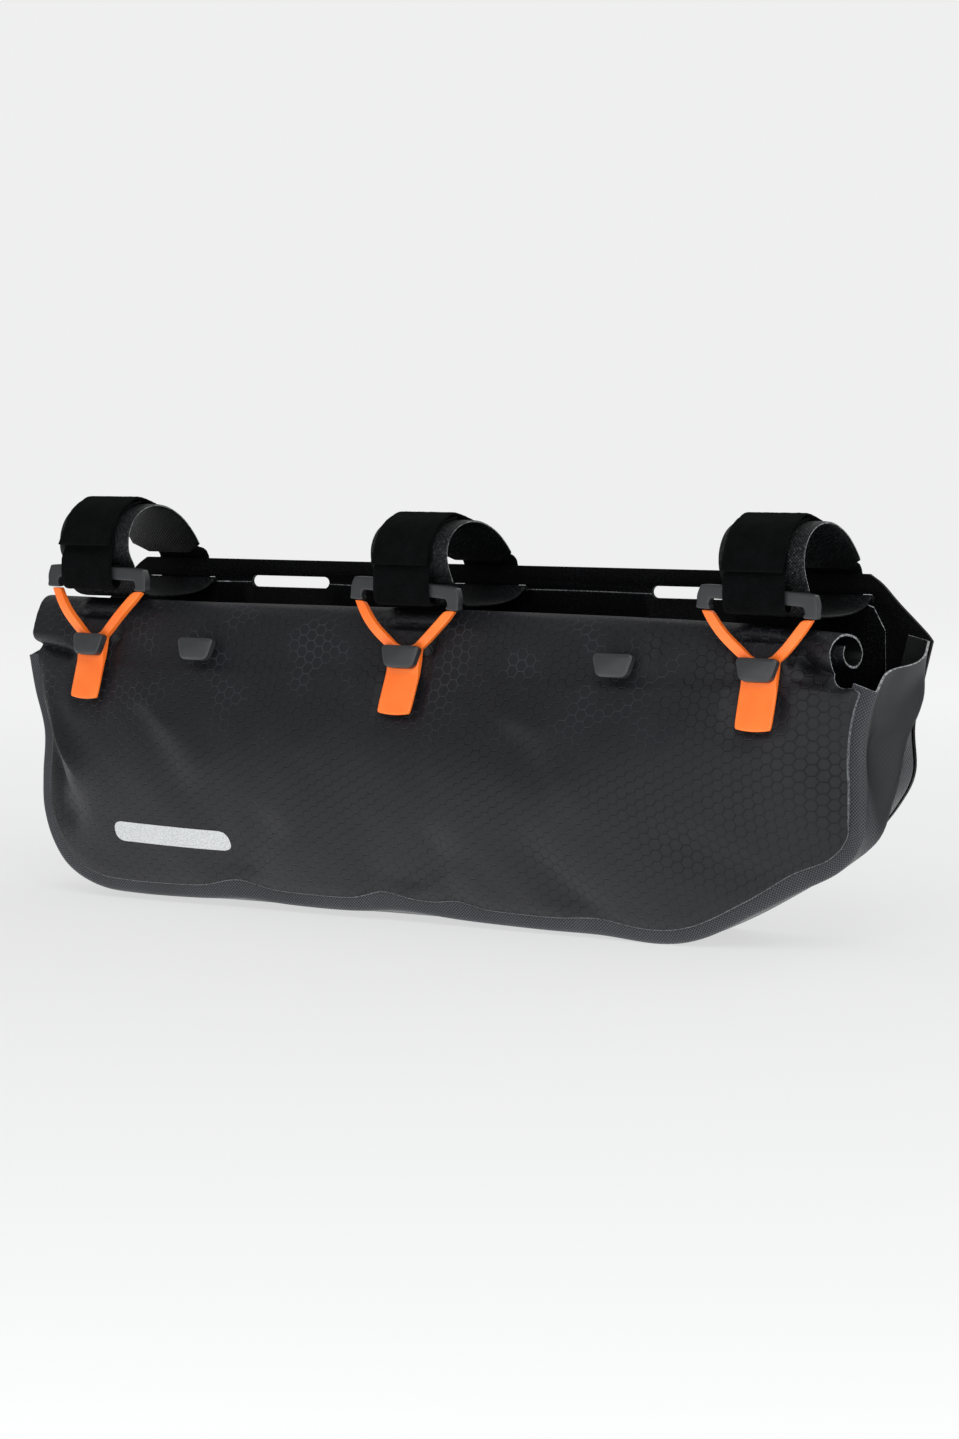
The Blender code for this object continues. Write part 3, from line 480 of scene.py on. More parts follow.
# %% Coated woven cloth
# how far the weld reaches beyond the lip on the strip, and how far it fades
WELD_REACH, WELD_FADE = 8.0, 3.0


def woven(name, colour, light, pitch, depth, roughness, gloss, sheen_patch=0.2, welded=None):
    """Plain weave under a coating: rows of small domes, whose tops are painted in the light colour as
    scattered glints, a painted highlight.
    welded gives the two places across the strip beyond which the weave's relief and its painted glints show
    strongly, where a weld has pressed the coating thin."""
    made, tree, shader = new_material(name, colour, roughness)
    place = cloth_place(tree)
    parts = add(tree, "ShaderNodeSeparateXYZ", {0: place})
    turn = 2.0 * math.pi / pitch
    across = math_node(tree, "SINE", times(tree, parts.outputs[0], turn))
    along = math_node(tree, "SINE", times(tree, parts.outputs[1], turn))
    dome = ramp(tree, times(tree, across, along), -0.4, 1.0)
    if welded is None:
        top = times(tree, dome, ramp(tree, noise(tree, place, 0.9, 2.0), 0.45, 0.7))
    else:
        first = ramp(tree, parts.outputs[0], welded[0] + WELD_FADE, welded[0])
        last = ramp(tree, parts.outputs[0], welded[1] - WELD_FADE, welded[1])
        dome = times(tree, dome, ramp(tree, math_node(tree, "MAXIMUM", first, last), 0.0, 1.0, 0.1, 1.0))
        top = dome
    patch = ramp(tree, noise(tree, place, 0.03, 3.0), 0.35, 0.7)
    top = times(tree, top, ramp(tree, patch, 0.0, 1.0, sheen_patch, 1.0))
    # painted highlight: the dome tops are painted in the light colour as glints
    tree.links.new(mixed(tree, top, srgb(colour), srgb(light)), shader.inputs["Base Color"])
    tree.links.new(ramp(tree, dome, 0.0, 1.0, roughness + 0.12, roughness - 0.06), shader.inputs["Roughness"])
    tree.links.new(bump(tree, dome, depth), shader.inputs["Normal"])
    shader.inputs["Specular IOR Level"].default_value = gloss
    return made


# %% Cut edge, pile, plastic and rubber
def cut_edge(name, low, high):
    """The core and torn threads that show where coated cloth is cut."""
    made, tree, shader = new_material(name, high, 0.8)
    thread = ramp(tree, noise(tree, object_place(tree), 900.0, 3.0), 0.35, 0.65)
    tree.links.new(mixed(tree, thread, srgb(low), srgb(high)), shader.inputs["Base Color"])
    tree.links.new(bump(tree, thread, 0.0001), shader.inputs["Normal"])
    return made


def make_pile():
    """Hook-and-loop pile: black nylon loops that swallow the light, with a few stray bright ones."""
    made, tree, shader = new_material("nylon_loop_pile", "#0B0C0D", 1.0)
    place = cloth_place(tree)
    loops = noise(tree, place, 1.5, 4.0, 0.7)
    matted = noise(tree, place, 0.12, 3.0)
    stray = ramp(tree, noise(tree, place, 2.6, 1.0), 0.70, 0.78)
    shade = mixed(tree, ramp(tree, matted, 0.3, 0.7), srgb("#050606"), srgb("#0B0C0D"))
    tree.links.new(mixed(tree, stray, shade, srgb("#35373A")), shader.inputs["Base Color"])
    tree.links.new(bump(tree, loops, 0.0006), shader.inputs["Normal"])
    shader.inputs["Specular IOR Level"].default_value = 0.03
    shader.inputs["Sheen Weight"].default_value = 0.012
    shader.inputs["Sheen Roughness"].default_value = 0.5
    return made


def make_plastic():
    """Glass-filled nylon with a fine spark-eroded grain; its sharp edges are painted paler as a painted edge
    highlight.
    """
    made, tree, shader = new_material("moulded_nylon", "#222426", 0.45, 1.53)
    place = object_place(tree)
    grain = noise(tree, place, 2600.0, 2.0)
    highlight_pointiness = add(tree, "ShaderNodeNewGeometry").outputs["Pointiness"]
    # painted highlight: the rounded edges, found by their pointiness, are painted paler
    edge = ramp(tree, highlight_pointiness, 0.52, 0.60)
    cloud = ramp(tree, noise(tree, place, 120.0, 3.0), 0.3, 0.7)
    base = mixed(tree, cloud, srgb("#1E2022"), srgb("#26282B"))
    shade = mixed(tree, times(tree, edge, 0.4), base, srgb("#3C3E41"))
    tree.links.new(shade, shader.inputs["Base Color"])
    tree.links.new(ramp(tree, grain, 0.3, 0.7, 0.40, 0.55), shader.inputs["Roughness"])
    tree.links.new(bump(tree, grain, 0.00005), shader.inputs["Normal"])
    return made


def make_rubber():
    """Orange thermoplastic elastomer: satin, a little light goes in and softens its edges."""
    made, tree, shader = new_material("orange_elastomer", "#FF7A2B", 0.42, 1.49)
    place = object_place(tree)
    cloud = ramp(tree, noise(tree, place, 70.0, 3.0), 0.3, 0.7)
    tree.links.new(mixed(tree, cloud, srgb("#FB6E1E"), srgb("#FF7F2F")), shader.inputs["Base Color"])
    grain = noise(tree, place, 1500.0, 2.0)
    tree.links.new(ramp(tree, grain, 0.3, 0.7, 0.38, 0.50), shader.inputs["Roughness"])
    tree.links.new(bump(tree, grain, 0.00002), shader.inputs["Normal"])
    shader.inputs["Subsurface Weight"].default_value = 0.12
    shader.inputs["Subsurface Radius"].default_value = (1.0, 0.35, 0.1)
    shader.inputs["Subsurface Scale"].default_value = 0.0012
    return made


def make_reflective():
    """Printed grey reflective film: a fine bead texture that shines a little."""
    made, tree, shader = new_material("grey_reflective_film", "#B9BBBD", 0.35)
    place = object_place(tree)
    beads = noise(tree, place, 2400.0, 1.0)
    shade = mixed(tree, ramp(tree, beads, 0.35, 0.65), srgb("#A2A4A7"), srgb("#C9CBCC"))
    tree.links.new(shade, shader.inputs["Base Color"])
    tree.links.new(bump(tree, beads, 0.00003), shader.inputs["Normal"])
    shader.inputs["Metallic"].default_value = 0.3
    return made


HEX_CLOTH = make_hex_cloth()
# the second colour of each weave is its painted glint colour, a painted highlight on the dome tops
GUSSET_CLOTH = woven("coated_gusset_cloth", "#121317", "#50545B", 1.4, 0.00022, 0.46, 0.4, 0.6,
                     (STRIP_ZERO + LIP + WELD_REACH, STRIP_ZERO + LIP + DEPTH - WELD_REACH))
LINING = woven("coated_lining", "#0B0C0D", "#1C1E20", 0.8, 0.00006, 0.4, 0.25)
FLANGE_CLOTH = woven("coated_flange_weave", "#030304", "#26292C", 1.2, 0.0002, 0.34, 0.05, 0.05)
BAND_WEAVE = woven("woven_nylon_band", "#050607", "#6A6E72", 1.35, 0.0003, 0.30, 0.18, 0.08)
CUT_EDGE = cut_edge("cut_cloth_edge", "#4A4C4E", "#B4B6B8")
WELDED_EDGE = cut_edge("welded_cloth_edge", "#34363A", "#6A6D70")
BAND_EDGE = cut_edge("cut_band_edge", "#26282A", "#8A8C8E")
PILE = make_pile()
PLASTIC = make_plastic()
RUBBER = make_rubber()
REFLECTIVE = make_reflective()
print("materials:", len(bpy.data.materials))

# %% [markdown]
# ## The line of the welded seams
# The gusset is a long strip bent round the left end, the bottom and the right end. Both its edges
# follow one smooth line each, and everything sewn or welded to it takes its place from them.

# %% Seam lines
FINE = 8
PATHS = smooth_line([(r[0] * HALF_LENGTH, r[1] * MOUTH_FRONT_Z, r[2] * HALF_LENGTH, r[3] * MOUTH_BACK_Z,
                      r[4] * DEPTH, r[5] * DEPTH, r[6] * DEPTH) for r in GUSSET_ROWS], FINE)
PATHS[:, 1] = np.maximum(PATHS[:, 1], -SAG)
PATHS[:, 3] = np.maximum(PATHS[:, 3], -SAG)
FRONT_EDGE, BACK_EDGE = PATHS[:, 0:2], PATHS[:, 2:4]
FRONT_OUT, BACK_OUT = normals_2d(FRONT_EDGE), normals_2d(BACK_EDGE)
PANEL_EDGE = FRONT_EDGE - SEAM_BORDER * FRONT_OUT
LEFT_CUT, RIGHT_CUT = LEFT_TURN_ROW * FINE, RIGHT_TURN_ROW * FINE


def left_x(z):
    part = PANEL_EDGE[: LEFT_CUT + 1][::-1]
    return np.interp(z, part[:, 1], part[:, 0])


def right_x(z):
    part = PANEL_EDGE[RIGHT_CUT:]
    edge = np.interp(z, part[:, 1], part[:, 0])
    return edge + (ROLL_RIGHT_X - edge) * ease((z - ROLL_TAPER_Z) / (ROLL_TAPER_TOP_Z - ROLL_TAPER_Z))


def bottom_z(x):
    part = PANEL_EDGE[LEFT_CUT : RIGHT_CUT + 1]
    height = np.interp(x, part[:, 0], part[:, 1])
    for share, width, rise in SEAM_WAVES:
        height = height + rise * np.exp(-(((x - share * HALF_LENGTH) / width) ** 2))
    return height


# %% [markdown]
# ## Front panel
# One cloth from the lower seam up over the hooks and back into a flattened scroll. On the real bag
# it is welded flat to the gusset's lip and pushed out by what is inside, so its face is a lofted
# shell with soft folds. It could be cut from a block and thinned, but lofting it row by row keeps
# the folds in the places seen, and lets the weave run along the cloth.
# Sharper creases than the solid has come from a second table, each one steeper on one side.

# %% Swell and creases of the panel
TAB_DENT = 2.6
SWELL_X = np.array([row[0] * HALF_LENGTH for row in PANEL_SWELL])
SWELL_LINE = smooth_line([(row[0] * HALF_LENGTH, row[1], row[2]) for row in PANEL_SWELL], 8)
# x and z of both ends in mm, width on the left and right of the line, rise
CREASES = (
    (-194.0, 88.0, -169.0, 56.0, 6.0, 1.6, 3.6),
    (-196.0, 80.0, -178.0, 50.0, 3.0, 5.0, -3.2),
    (-190.0, 99.0, -168.0, 94.0, 3.0, 6.0, -1.2),
    (-146.0, 112.0, -112.0, 76.0, 4.0, 8.0, 1.5),
    (-134.0, 106.0, -112.0, 82.0, 6.0, 3.0, -1.2),
    (-20.0, 96.0, -44.0, 70.0, 9.0, 4.0, 0.6),
    (18.0, 100.0, 62.0, 76.0, 5.0, 10.0, -0.9),
    (30.0, 99.0, 76.0, 84.0, 4.0, 8.0, 0.8),
    (138.0, 98.0, 120.0, 76.0, 7.0, 4.0, 0.6),
    (172.0, 99.0, 192.0, 88.0, 3.0, 6.0, -1.3),
    (168.0, 96.0, 188.0, 74.0, 4.0, 7.0, 1.0),
    (-92.0, 9.0, -70.0, 34.0, 4.0, 9.0, -1.0),
    (-84.0, 8.0, -52.0, 30.0, 3.0, 7.0, 0.9),
    (-12.0, 8.0, 12.0, 30.0, 4.0, 9.0, -1.1),
    (-4.0, 7.0, 26.0, 24.0, 3.0, 7.0, 0.9),
    (84.0, 7.0, 60.0, 32.0, 9.0, 4.0, -1.0),
    (158.0, 22.0, 118.0, 44.0, 8.0, 3.5, -1.1),
    (166.0, 30.0, 136.0, 54.0, 8.0, 3.5, 0.8),
)


# Creases round the roll's ends, in the same columns, but with heights over the hooks along the cloth
ROLL_CREASES = (
    (-200.0, -0.5, -172.0, -3.4, 1.5, 3.0, -4.6),
    (-204.0, 4.6, -174.0, 3.6, 4.0, 4.0, 1.6),
    (163.0, 17.0, 175.0, 3.0, 3.2, 1.8, -6.5),
    (173.0, 4.0, 190.0, -3.0, 2.2, 3.2, -5.5),
    (173.0, 16.0, 187.0, 6.0, 4.5, 4.5, 2.6),
    (163.0, -6.0, 178.0, -14.0, 4.0, 2.0, 1.4),
)


def crease(x, z, row):
    x0, z0, x1, z1, left, right, rise = row
    a, way = np.array([x0, z0]), np.array([x1 - x0, z1 - z0])
    length = np.linalg.norm(way)
    way = way / length
    along = ((x - a[0]) * way[0] + (z - a[1]) * way[1]) / length
    side = (x - a[0]) * way[1] - (z - a[1]) * way[0]
    width = np.where(side < 0.0, left, right)
    fade = ease((along + 0.25) / 0.45) * ease((1.25 - along) / 0.45)
    return rise * fade * np.exp(-np.abs(side / width) ** 1.6)


def swell(x, z):
    """How far the panel stands in front of its seam."""
    left, right = left_x(z), right_x(z)
    share = np.clip((x - left) / (right - left), 0.0, 1.0)
    drawn = SWELL_X[0] + share * (SWELL_X[-1] - SWELL_X[0])
    face = BELLY * np.interp(drawn, SWELL_LINE[:, 0], SWELL_LINE[:, 1])
    pad = BELLY * np.interp(drawn, SWELL_LINE[:, 0], SWELL_LINE[:, 2])
    inset = np.minimum(share, 1.0 - share) * (right - left)
    slope = math.tan(HOOK_TILT) * np.minimum(inset / 20.0, 1.0)
    low = bottom_z(x)
    t = np.clip((z - low) / (PAD_LOW - low), 0.0, 1.0)
    out = face * np.maximum(np.sin(math.pi * t), 0.0) ** 0.8 + (pad + PAD_HALF * slope) * ease(t)
    quiet = np.clip((PAD_LOW - z) / 12.0, 0, 1) * np.clip(inset / 8.0, 0, 1) * np.clip((z - low) / 8.0, 0, 1)
    for x0, z0, x1, z1, width, rise in FOLDS:
        a = np.array([x0 * HALF_LENGTH, z0 * MOUTH_FRONT_Z])
        way = np.array([x1 * HALF_LENGTH, z1 * MOUTH_FRONT_Z]) - a
        along = np.clip(((x - a[0]) * way[0] + (z - a[1]) * way[1]) / way.dot(way), 0.0, 1.0)
        away = np.hypot(x - a[0] - along * way[0], z - a[1] - along * way[1])
        out = out + quiet * rise * np.exp(-((away / width) ** 2))
    calm = np.clip(inset / 10.0, 0, 1) * np.clip((z - low) / 9.0, 0, 1)
    for hook in HOOK_XS:
        calm = calm * (1.0 - ease(1.6 - np.hypot(x - hook, z - HOOK_Z + 6.0) / 14.0))
    for row in CREASES:
        out = out + calm * crease(x, z, row)
    out = out + 0.35 * calm * ripple(x, z, 3)
    out = np.maximum(out, 0.0)
    upper = pad - (z - HOOK_Z) * slope + 0.25 * calm * ripple(x, z, 3)
    out = np.where(z >= PAD_LOW, upper, out)
    for hook in HOOK_XS:
        here = (hook - left_x(HOOK_Z)) / (right_x(HOOK_Z) - left_x(HOOK_Z))
        at = SWELL_X[0] + here * (SWELL_X[-1] - SWELL_X[0])
        flat = BELLY * np.interp(at, SWELL_LINE[:, 0], SWELL_LINE[:, 2])
        flat = flat - (z - HOOK_Z) * math.tan(HOOK_TILT)
        near = ease((14.0 - np.abs(x - hook)) / 5.0) * ease((z - PAD_LOW + 6.0) / 6.0)
        out = out * (1.0 - near) + flat * near
    return out


def panel_y(x, z):
    return PANEL_OUTER_Y - swell(x, z)


def plate(x, s):
    """Relief round the plate welded in behind a hook: s is the height over the hook along the cloth."""
    total = np.zeros_like(x)
    for hook in HOOK_XS[::2]:
        half = 9.2 + 0.10 * s
        across = np.abs(x - hook)
        inside = ease((half - across) / 1.6) * ease((12.4 - s) / 1.6) * ease((s - 1.0) / 4.0)
        groove = np.exp(-(((s - 13.9) / 1.3) ** 2)) * ease((half + 2.5 - across) / 3.0)
        flank = np.exp(-(((across - half - 1.3) / 1.3) ** 2)) * ease((14.5 - s) / 2.0) * ease((s - 0.0) / 5.0)
        crest = np.exp(-(((s - 18.0) / 2.6) ** 2)) * ease((half + 5.0 - across) / 6.0)
        total = total + 1.2 * inside - 3.0 * np.maximum(groove, 0.8 * flank) + 1.2 * crest
    return total


def near_hooks(x, s, reach):
    """1 at a used hook and its plate, 0 from this far away."""
    total = np.zeros_like(x)
    for hook in HOOK_XS[::2]:
        total = np.maximum(total, ease(1.5 - np.hypot((x - hook) / reach, (s - 6.0) / reach)))
    return total


def fine_steps(first, last, places, reach, coarse, fine):
    """Numbers from first to last: coarse steps, and fine ones this near the given places."""
    found = [first]
    while found[-1] < last:
        away = min(abs(found[-1] - place) for place in places)
        found.append(found[-1] + (fine if away < reach else coarse))
    found[-1] = last
    return np.array(found)


# %% Front panel
# steps along the panel and along its roll in mm: coarse ones, and fine ones near hooks and creases
COLUMN_STEP, COLUMN_FINE, COLUMN_REACH = 3.2, 0.95, 13.0
ROLL_STEP, ROLL_FINE, ROLL_REACH, ROLL_PLATE_AT = 1.35, 0.6, 8.0, 5.0
CREASED_ENDS = (-185.0, 177.0)
SMOOTHING_PASSES = 60
# how far the cut edge is pressed into the weld, and how far in from it the face rises
SEAM_TUCK, SEAM_FADE = 0.28, 6.0


def front_panel():
    start, end = float(left_x(HOOK_Z)), float(right_x(HOOK_Z))
    places = (*HOOK_XS[::2], *CREASED_ENDS)
    columns = fine_steps(start + 3.0, end - 3.0, places, COLUMN_REACH, COLUMN_STEP, COLUMN_FINE)
    u = np.concatenate([[0.0, 0.0012, 0.0030], (columns - start) / (end - start), [0.9970, 0.9988, 1.0]])
    v = np.concatenate([[0.0, 0.0045, 0.012, 0.022], np.linspace(0.034, 1.0, 64)])
    left_low, right_low = PANEL_EDGE[LEFT_CUT], PANEL_EDGE[RIGHT_CUT]
    lows = bottom_z(left_low[0] + u * (right_low[0] - left_low[0]))
    lows[0], lows[-1] = left_low[1], right_low[1]
    z = lows[None, :] + v[:, None] * (PAD_LOW - lows[None, :])
    z = np.vstack([z, np.linspace(PAD_LOW, PAD_HIGH, 26)[1:, None] + 0.0 * u[None, :]])
    x = left_x(z) + u[None, :] * (right_x(z) - left_x(z))
    y = panel_y(x, z)
    soft = ease(1.2 - np.abs(z - PAD_LOW) / 14.0)[1:-1]
    for _ in range(SMOOTHING_PASSES):
        y[1:-1] += soft * (0.25 * y[:-2] - 0.5 * y[1:-1] + 0.25 * y[2:])
    for hook in HOOK_XS[::2]:
        beside = ease((14.0 - np.abs(x - hook)) / 8.0)
        y += TAB_DENT * beside * ease((z - 76.0) / 14.0) * ease((PAD_LOW + 4.0 - z) / 8.0)
    face = np.stack([x, y, z], axis=2)
    scroll = smooth_line(ROLL_ROWS, 12) * (ROLL_DEPTH, ROLL_HEIGHT)
    length = lengths_along(scroll)
    at = fine_steps(0.0, length[-1], (ROLL_PLATE_AT,), ROLL_REACH, ROLL_STEP, ROLL_FINE)[1:]
    along = np.column_stack([np.interp(at, length, scroll[:, k]) for k in (0, 1)]) / (ROLL_DEPTH, ROLL_HEIGHT)
    lift = ROLL_LIFT_LEFT + (ROLL_LIFT_RIGHT - ROLL_LIFT_LEFT) * u**8 + 0.035 * (1.0 - u) ** 6
    top = face[-1]
    roll = np.stack([
        top[None, :, 0] + 0.0 * along[:, :1],
        top[None, :, 1] + along[:, :1] * ROLL_DEPTH,
        PAD_HIGH + along[:, 1:] * ROLL_HEIGHT * lift[None, :],
    ], axis=2)
    outer = np.vstack([face, roll])
    normal = grid_normals(outer)
    count = len(face)
    if normal[count // 2, len(u) // 2, 1] > 0:
        normal = -normal
    s = np.zeros(outer.shape[:2])
    s[:count] = outer[:count, :, 2] - HOOK_Z
    step = np.linalg.norm(np.diff(outer[count - 1 :], axis=0), axis=2)
    s[count:] = PAD_HALF + np.cumsum(step, axis=0)
    place_x = outer[:, :, 0].copy()
    wave = 0.45 * ripple(place_x, 3.0 * s, 11) * ease((s - 8.0) / 8.0) * ease((30.0 - s) / 10.0)
    for row in ROLL_CREASES:
        wave = wave + crease(place_x, s, row)
    relief = plate(place_x, s) + wave * (1.0 - near_hooks(place_x, s, 14.0))
    outer = outer + normal * relief[:, :, None]
    seam = np.minimum(1.0, np.minimum.reduce([
        np.linalg.norm(outer[:, :1] - outer, axis=2), np.linalg.norm(outer[:, -1:] - outer, axis=2),
        np.linalg.norm(outer[:1] - outer, axis=2)]) / SEAM_FADE)
    seam = np.maximum(seam, ease((s - MOUTH_FRONT_Z + HOOK_Z + 0.5) / 3.0))
    seam[count:] = 1.0
    outer[:, :, 1] += (1.0 - ease(seam)) * (SEAM_FRONT_Y - 0.05 - PANEL_CLOTH - PANEL_OUTER_Y)
    for part in (outer[:count, 0], outer[:count, -1], outer[0]):
        part[:, 1] += SEAM_TUCK
    for edge in (normal[0], normal[:count, 0], normal[:count, -1]):
        edge[:] = (0.0, -1.0, 0.0)
    inner = outer - PANEL_CLOTH * normal
    for part in (inner[:count, 0], inner[:count, -1], inner[0]):
        part[:, 1] -= SEAM_TUCK
    cloth = np.stack([outer[:, :, 0] + CLOTH_ZERO, s + CLOTH_ZERO], axis=2)
    slots = np.zeros((outer.shape[0] - 1, outer.shape[1] - 1), int)
    welded = int(np.sum(z[:, 0] < MOUTH_FRONT_Z))
    slots[0] = slots[:welded, 0] = slots[:welded, -1] = 3
    made = sheet("front_panel_cloth", outer, inner, [HEX_CLOTH, LINING, CUT_EDGE, WELDED_EDGE], cloth,
                 slots, welded)
    return done(made, "panel_fabric", "front_panel")


PANEL = front_panel()
bpy.context.view_layer.update()


def surface_y(x, z):
    """Where the finished panel's face is, found by a ray from the front."""
    start = Vector((np.array([x, -150.0, z]) + SHIFT) * MM)
    hit, spot = PANEL.ray_cast(start, Vector((0.0, 1.0, 0.0)))[:2]
    return spot.y / MM - SHIFT[1] if hit else float(panel_y(np.array([x]), np.array([z]))[0])


print("panel in front of its seam at the middle, mm:", round(PANEL_OUTER_Y - surface_y(0.0, 55.0), 1))

# %% [markdown]
# ## Gusset
# The channel strip has a lip welded under the front panel and one on the back panel. Its front lip
# shows beyond the panel's cut edge as the pale-specked border. At the right end the slack cloth
# falls into a valley behind the front lip and stands up again in a long crest.

# %% Gusset
# row along the strip and share of its depth at both ends of a crease, width in rows and in shares, rise
GUSSET_CREASES = (
    (25.3, 0.76, 21.6, 0.12, 0.09, 4.0),
    (24.4, 0.34, 22.2, 0.02, 0.12, -3.2),
    (24.6, 0.95, 22.2, 0.62, 0.10, -1.8),
    (1.2, 0.25, 3.2, 0.80, 0.12, 1.4),
    (0.6, 0.55, 2.2, 0.20, 0.12, -1.4),
    (19.2, 0.10, 20.6, 0.50, 0.10, -1.4),
)


# reach from the seam line and depth of the turn between lip and wall, as shares of LIP_CORNER
LIP_ARC = ((1.0, 0.0), (0.62, 0.07), (0.29, 0.29), (0.07, 0.62))
FRONT_LIP = [(share * LIP, SEAM_FRONT_Y) for share in (1.0, 0.6, 0.35)]
FRONT_LIP += [(reach * LIP_CORNER, SEAM_FRONT_Y + deep * LIP_CORNER) for reach, deep in LIP_ARC]
BACK_LIP = [(reach * LIP_CORNER, SEAM_BACK_Y - deep * LIP_CORNER) for reach, deep in LIP_ARC[::-1]]
BACK_LIP += [(LIP, SEAM_BACK_Y)]


def lip_points(edge, out, rows):
    return [(edge[0] - reach * out[0], y, edge[1] - reach * out[1]) for reach, y in rows]


def gusset():
    rows = np.arange(len(PATHS)) / FINE
    share = np.linspace(0.0, 1.0, 36)
    free = np.sin(math.pi * share)
    knots = np.linspace(0.0, 1.0, 33)
    grid = []
    for k in range(len(PATHS)):
        front, back, f_out, b_out = FRONT_EDGE[k], BACK_EDGE[k], FRONT_OUT[k], BACK_OUT[k]
        line = lip_points(front, f_out, FRONT_LIP)
        offsets = smooth_line([[v] for v in (0.0, PATHS[k, 4], PATHS[k, 5], PATHS[k, 6], 0.0)], 8)[:, 0]
        offset = np.interp(share, knots, offsets)
        for row0, share0, row1, share1, width, rise in GUSSET_CREASES:
            along = (rows[k] - row0) / (row1 - row0)
            centre = share0 + along * (share1 - share0)
            fade = ease((along + 0.2) / 0.4) * ease((1.2 - along) / 0.4) * ease((26.0 - rows[k]) / 0.9)
            fold = np.exp(-np.abs((share - centre) / width) ** 1.5)
            offset = offset + fade * rise * fold * free**0.5
        offset = offset + 0.3 * ripple(np.full_like(share, 20.0 * rows[k]), share * DEPTH, 5) * free
        lift = 2.0 * ease((rows[k] - 24.4) / 1.6) * np.exp(-(((share - 0.35) / 0.25) ** 2))
        flat = ease((rows[k] - FLOOR_ROWS[0] + 0.6) / 0.6) * ease((FLOOR_ROWS[1] + 0.6 - rows[k]) / 0.6)
        level = smooth_line([[v] for v in (front[1], -SAG + FRONT_RISE, -SAG, -SAG, back[1])], 8)[:, 0]
        level = np.maximum(np.interp(share, knots, level), -SAG)
        for i, t in enumerate(share):
            out = f_out + t * (b_out - f_out)
            p = front + t * (back - front) + offset[i] * out
            z = (1.0 - flat) * max(p[1], -SAG) + flat * level[i]
            line.append((p[0], SEAM_FRONT_Y + LIP_CORNER + t * (DEPTH - 2.0 * LIP_CORNER), z + lift[i]))
        grid.append(line + lip_points(back, b_out, BACK_LIP))
    outer = np.array(grid)
    normal = grid_normals(outer)
    if (normal * (outer - outer.mean(axis=(0, 1)))).sum() < 0:
        normal = -normal
    normal[:, :3], normal[:, -2:] = (0.0, -1.0, 0.0), (0.0, 1.0, 0.0)
    inner = outer - GUSSET_WALL * normal
    along = lengths_along(FRONT_EDGE)
    across = lengths_along(outer[len(outer) // 2])
    cloth = np.stack(np.broadcast_arrays(across[None, :] + STRIP_ZERO, along[:, None] + STRIP_ZERO), axis=2)
    made = sheet("gusset_cloth", outer, inner, [GUSSET_CLOTH, LINING, CUT_EDGE], cloth)
    return done(made, "gusset_fabric", "gusset")


gusset()

# %% [markdown]
# ## Back panel and its flange
# A stiff sheet under the same coated weave. Its upper part stands above the bag as the flange, with
# five slots for the tube loops. A Boolean cuts the slots, as a punch does. The inner cloth of the
# bag is welded to it and ends in a thin pale line 10 mm below the flange's edge.

# %% Back panel
PUNCH_REACH = 2.0
# the lining's face and lower edge, its thickness, and how far its cut edge lies behind its face
LINING_Y, LINING_LOW_Z, LINING_THICKNESS, LINING_EDGE_BACK = 30.06, 97.0, 0.28, 0.2


def slot_outline(x, length, height, middle=SLOT_Z):
    points, radius = [], height / 2.0
    for side in (1, -1):
        for k in range(13):
            angle = math.pi * (k / 12.0 - 0.5)
            points.append((x + side * (length / 2.0 - radius + radius * math.cos(angle)),
                           middle + side * radius * math.sin(angle)))
    return points


SLOTS = [slot_outline(x, SLOT_LENGTH, SLOT_HEIGHT) if number % 2 else
         slot_outline(x + BAND_OFFSET, USED_SLOT_LENGTH, USED_SLOT_HEIGHT, SLOT_Z - USED_SLOT_DROP)
         for number, x in enumerate(HOOK_XS)]


def prism(name, outline, y0, y1, materials):
    size = len(outline)
    points = [(p[0], y, p[1]) for y in (y0, y1) for p in outline]
    faces = [list(range(size)), list(range(2 * size - 1, size - 1, -1))]
    faces += [[j, (j + 1) % size, size + (j + 1) % size, size + j] for j in range(size)]
    return new_object(name, points, faces, materials)


def only(piece):
    bpy.ops.object.select_all(action="DESELECT")
    piece.select_set(True)
    bpy.context.view_layer.objects.active = piece


def apply_all(piece):
    only(piece)
    for modifier in list(piece.modifiers):
        bpy.ops.object.modifier_apply(modifier=modifier.name)


def flat_cloth(piece):
    """UV in millimetres over a flat piece: along x and up z."""
    mesh = piece.data
    layer = mesh.uv_layers.get("cloth") or mesh.uv_layers.new(name="cloth")
    for loop in mesh.loops:
        place = mesh.vertices[loop.vertex_index].co
        layer.data[loop.index].uv = (place.x / MM + FLAT_ZERO, place.z / MM + FLAT_ZERO + place.y / MM)


def punch_slots(piece, near, far):
    for outline in SLOTS:
        cutter = prism("slot_punch", outline, near - PUNCH_REACH, far + PUNCH_REACH, [])
        cut = piece.modifiers.new("slot", "BOOLEAN")
        cut.object, cut.solver = cutter, "EXACT"
        apply_all(piece)
        bpy.data.objects.remove(cutter, do_unlink=True)


def back_panel():
    corner = np.array(FLANGE_CORNER) * (HALF_LENGTH, FLANGE_TOP_Z)
    right = smooth_line(np.vstack([BACK_EDGE[-1:], corner]), 4)[1:]
    left = smooth_line(np.vstack([corner[::-1] * (-1.0, 1.0), BACK_EDGE[:1]]), 4)[:-1]
    near = SEAM_BACK_Y + CLEARANCE
    outline = np.vstack([BACK_EDGE, right, left])
    made = prism("back_panel_sheet", outline, near, near + BACK_SHEET, [FLANGE_CLOTH])
    punch_slots(made, near, near + BACK_SHEET)
    edge = made.modifiers.new("edge", "BEVEL")
    edge.width, edge.segments, edge.limit_method, edge.angle_limit = 0.5 * MM, 2, "ANGLE", math.radians(60)
    apply_all(made)
    flat_cloth(made)
    made.data.set_sharp_from_angle(angle=math.radians(35))
    return done(made, "flange_weave", "back_panel")


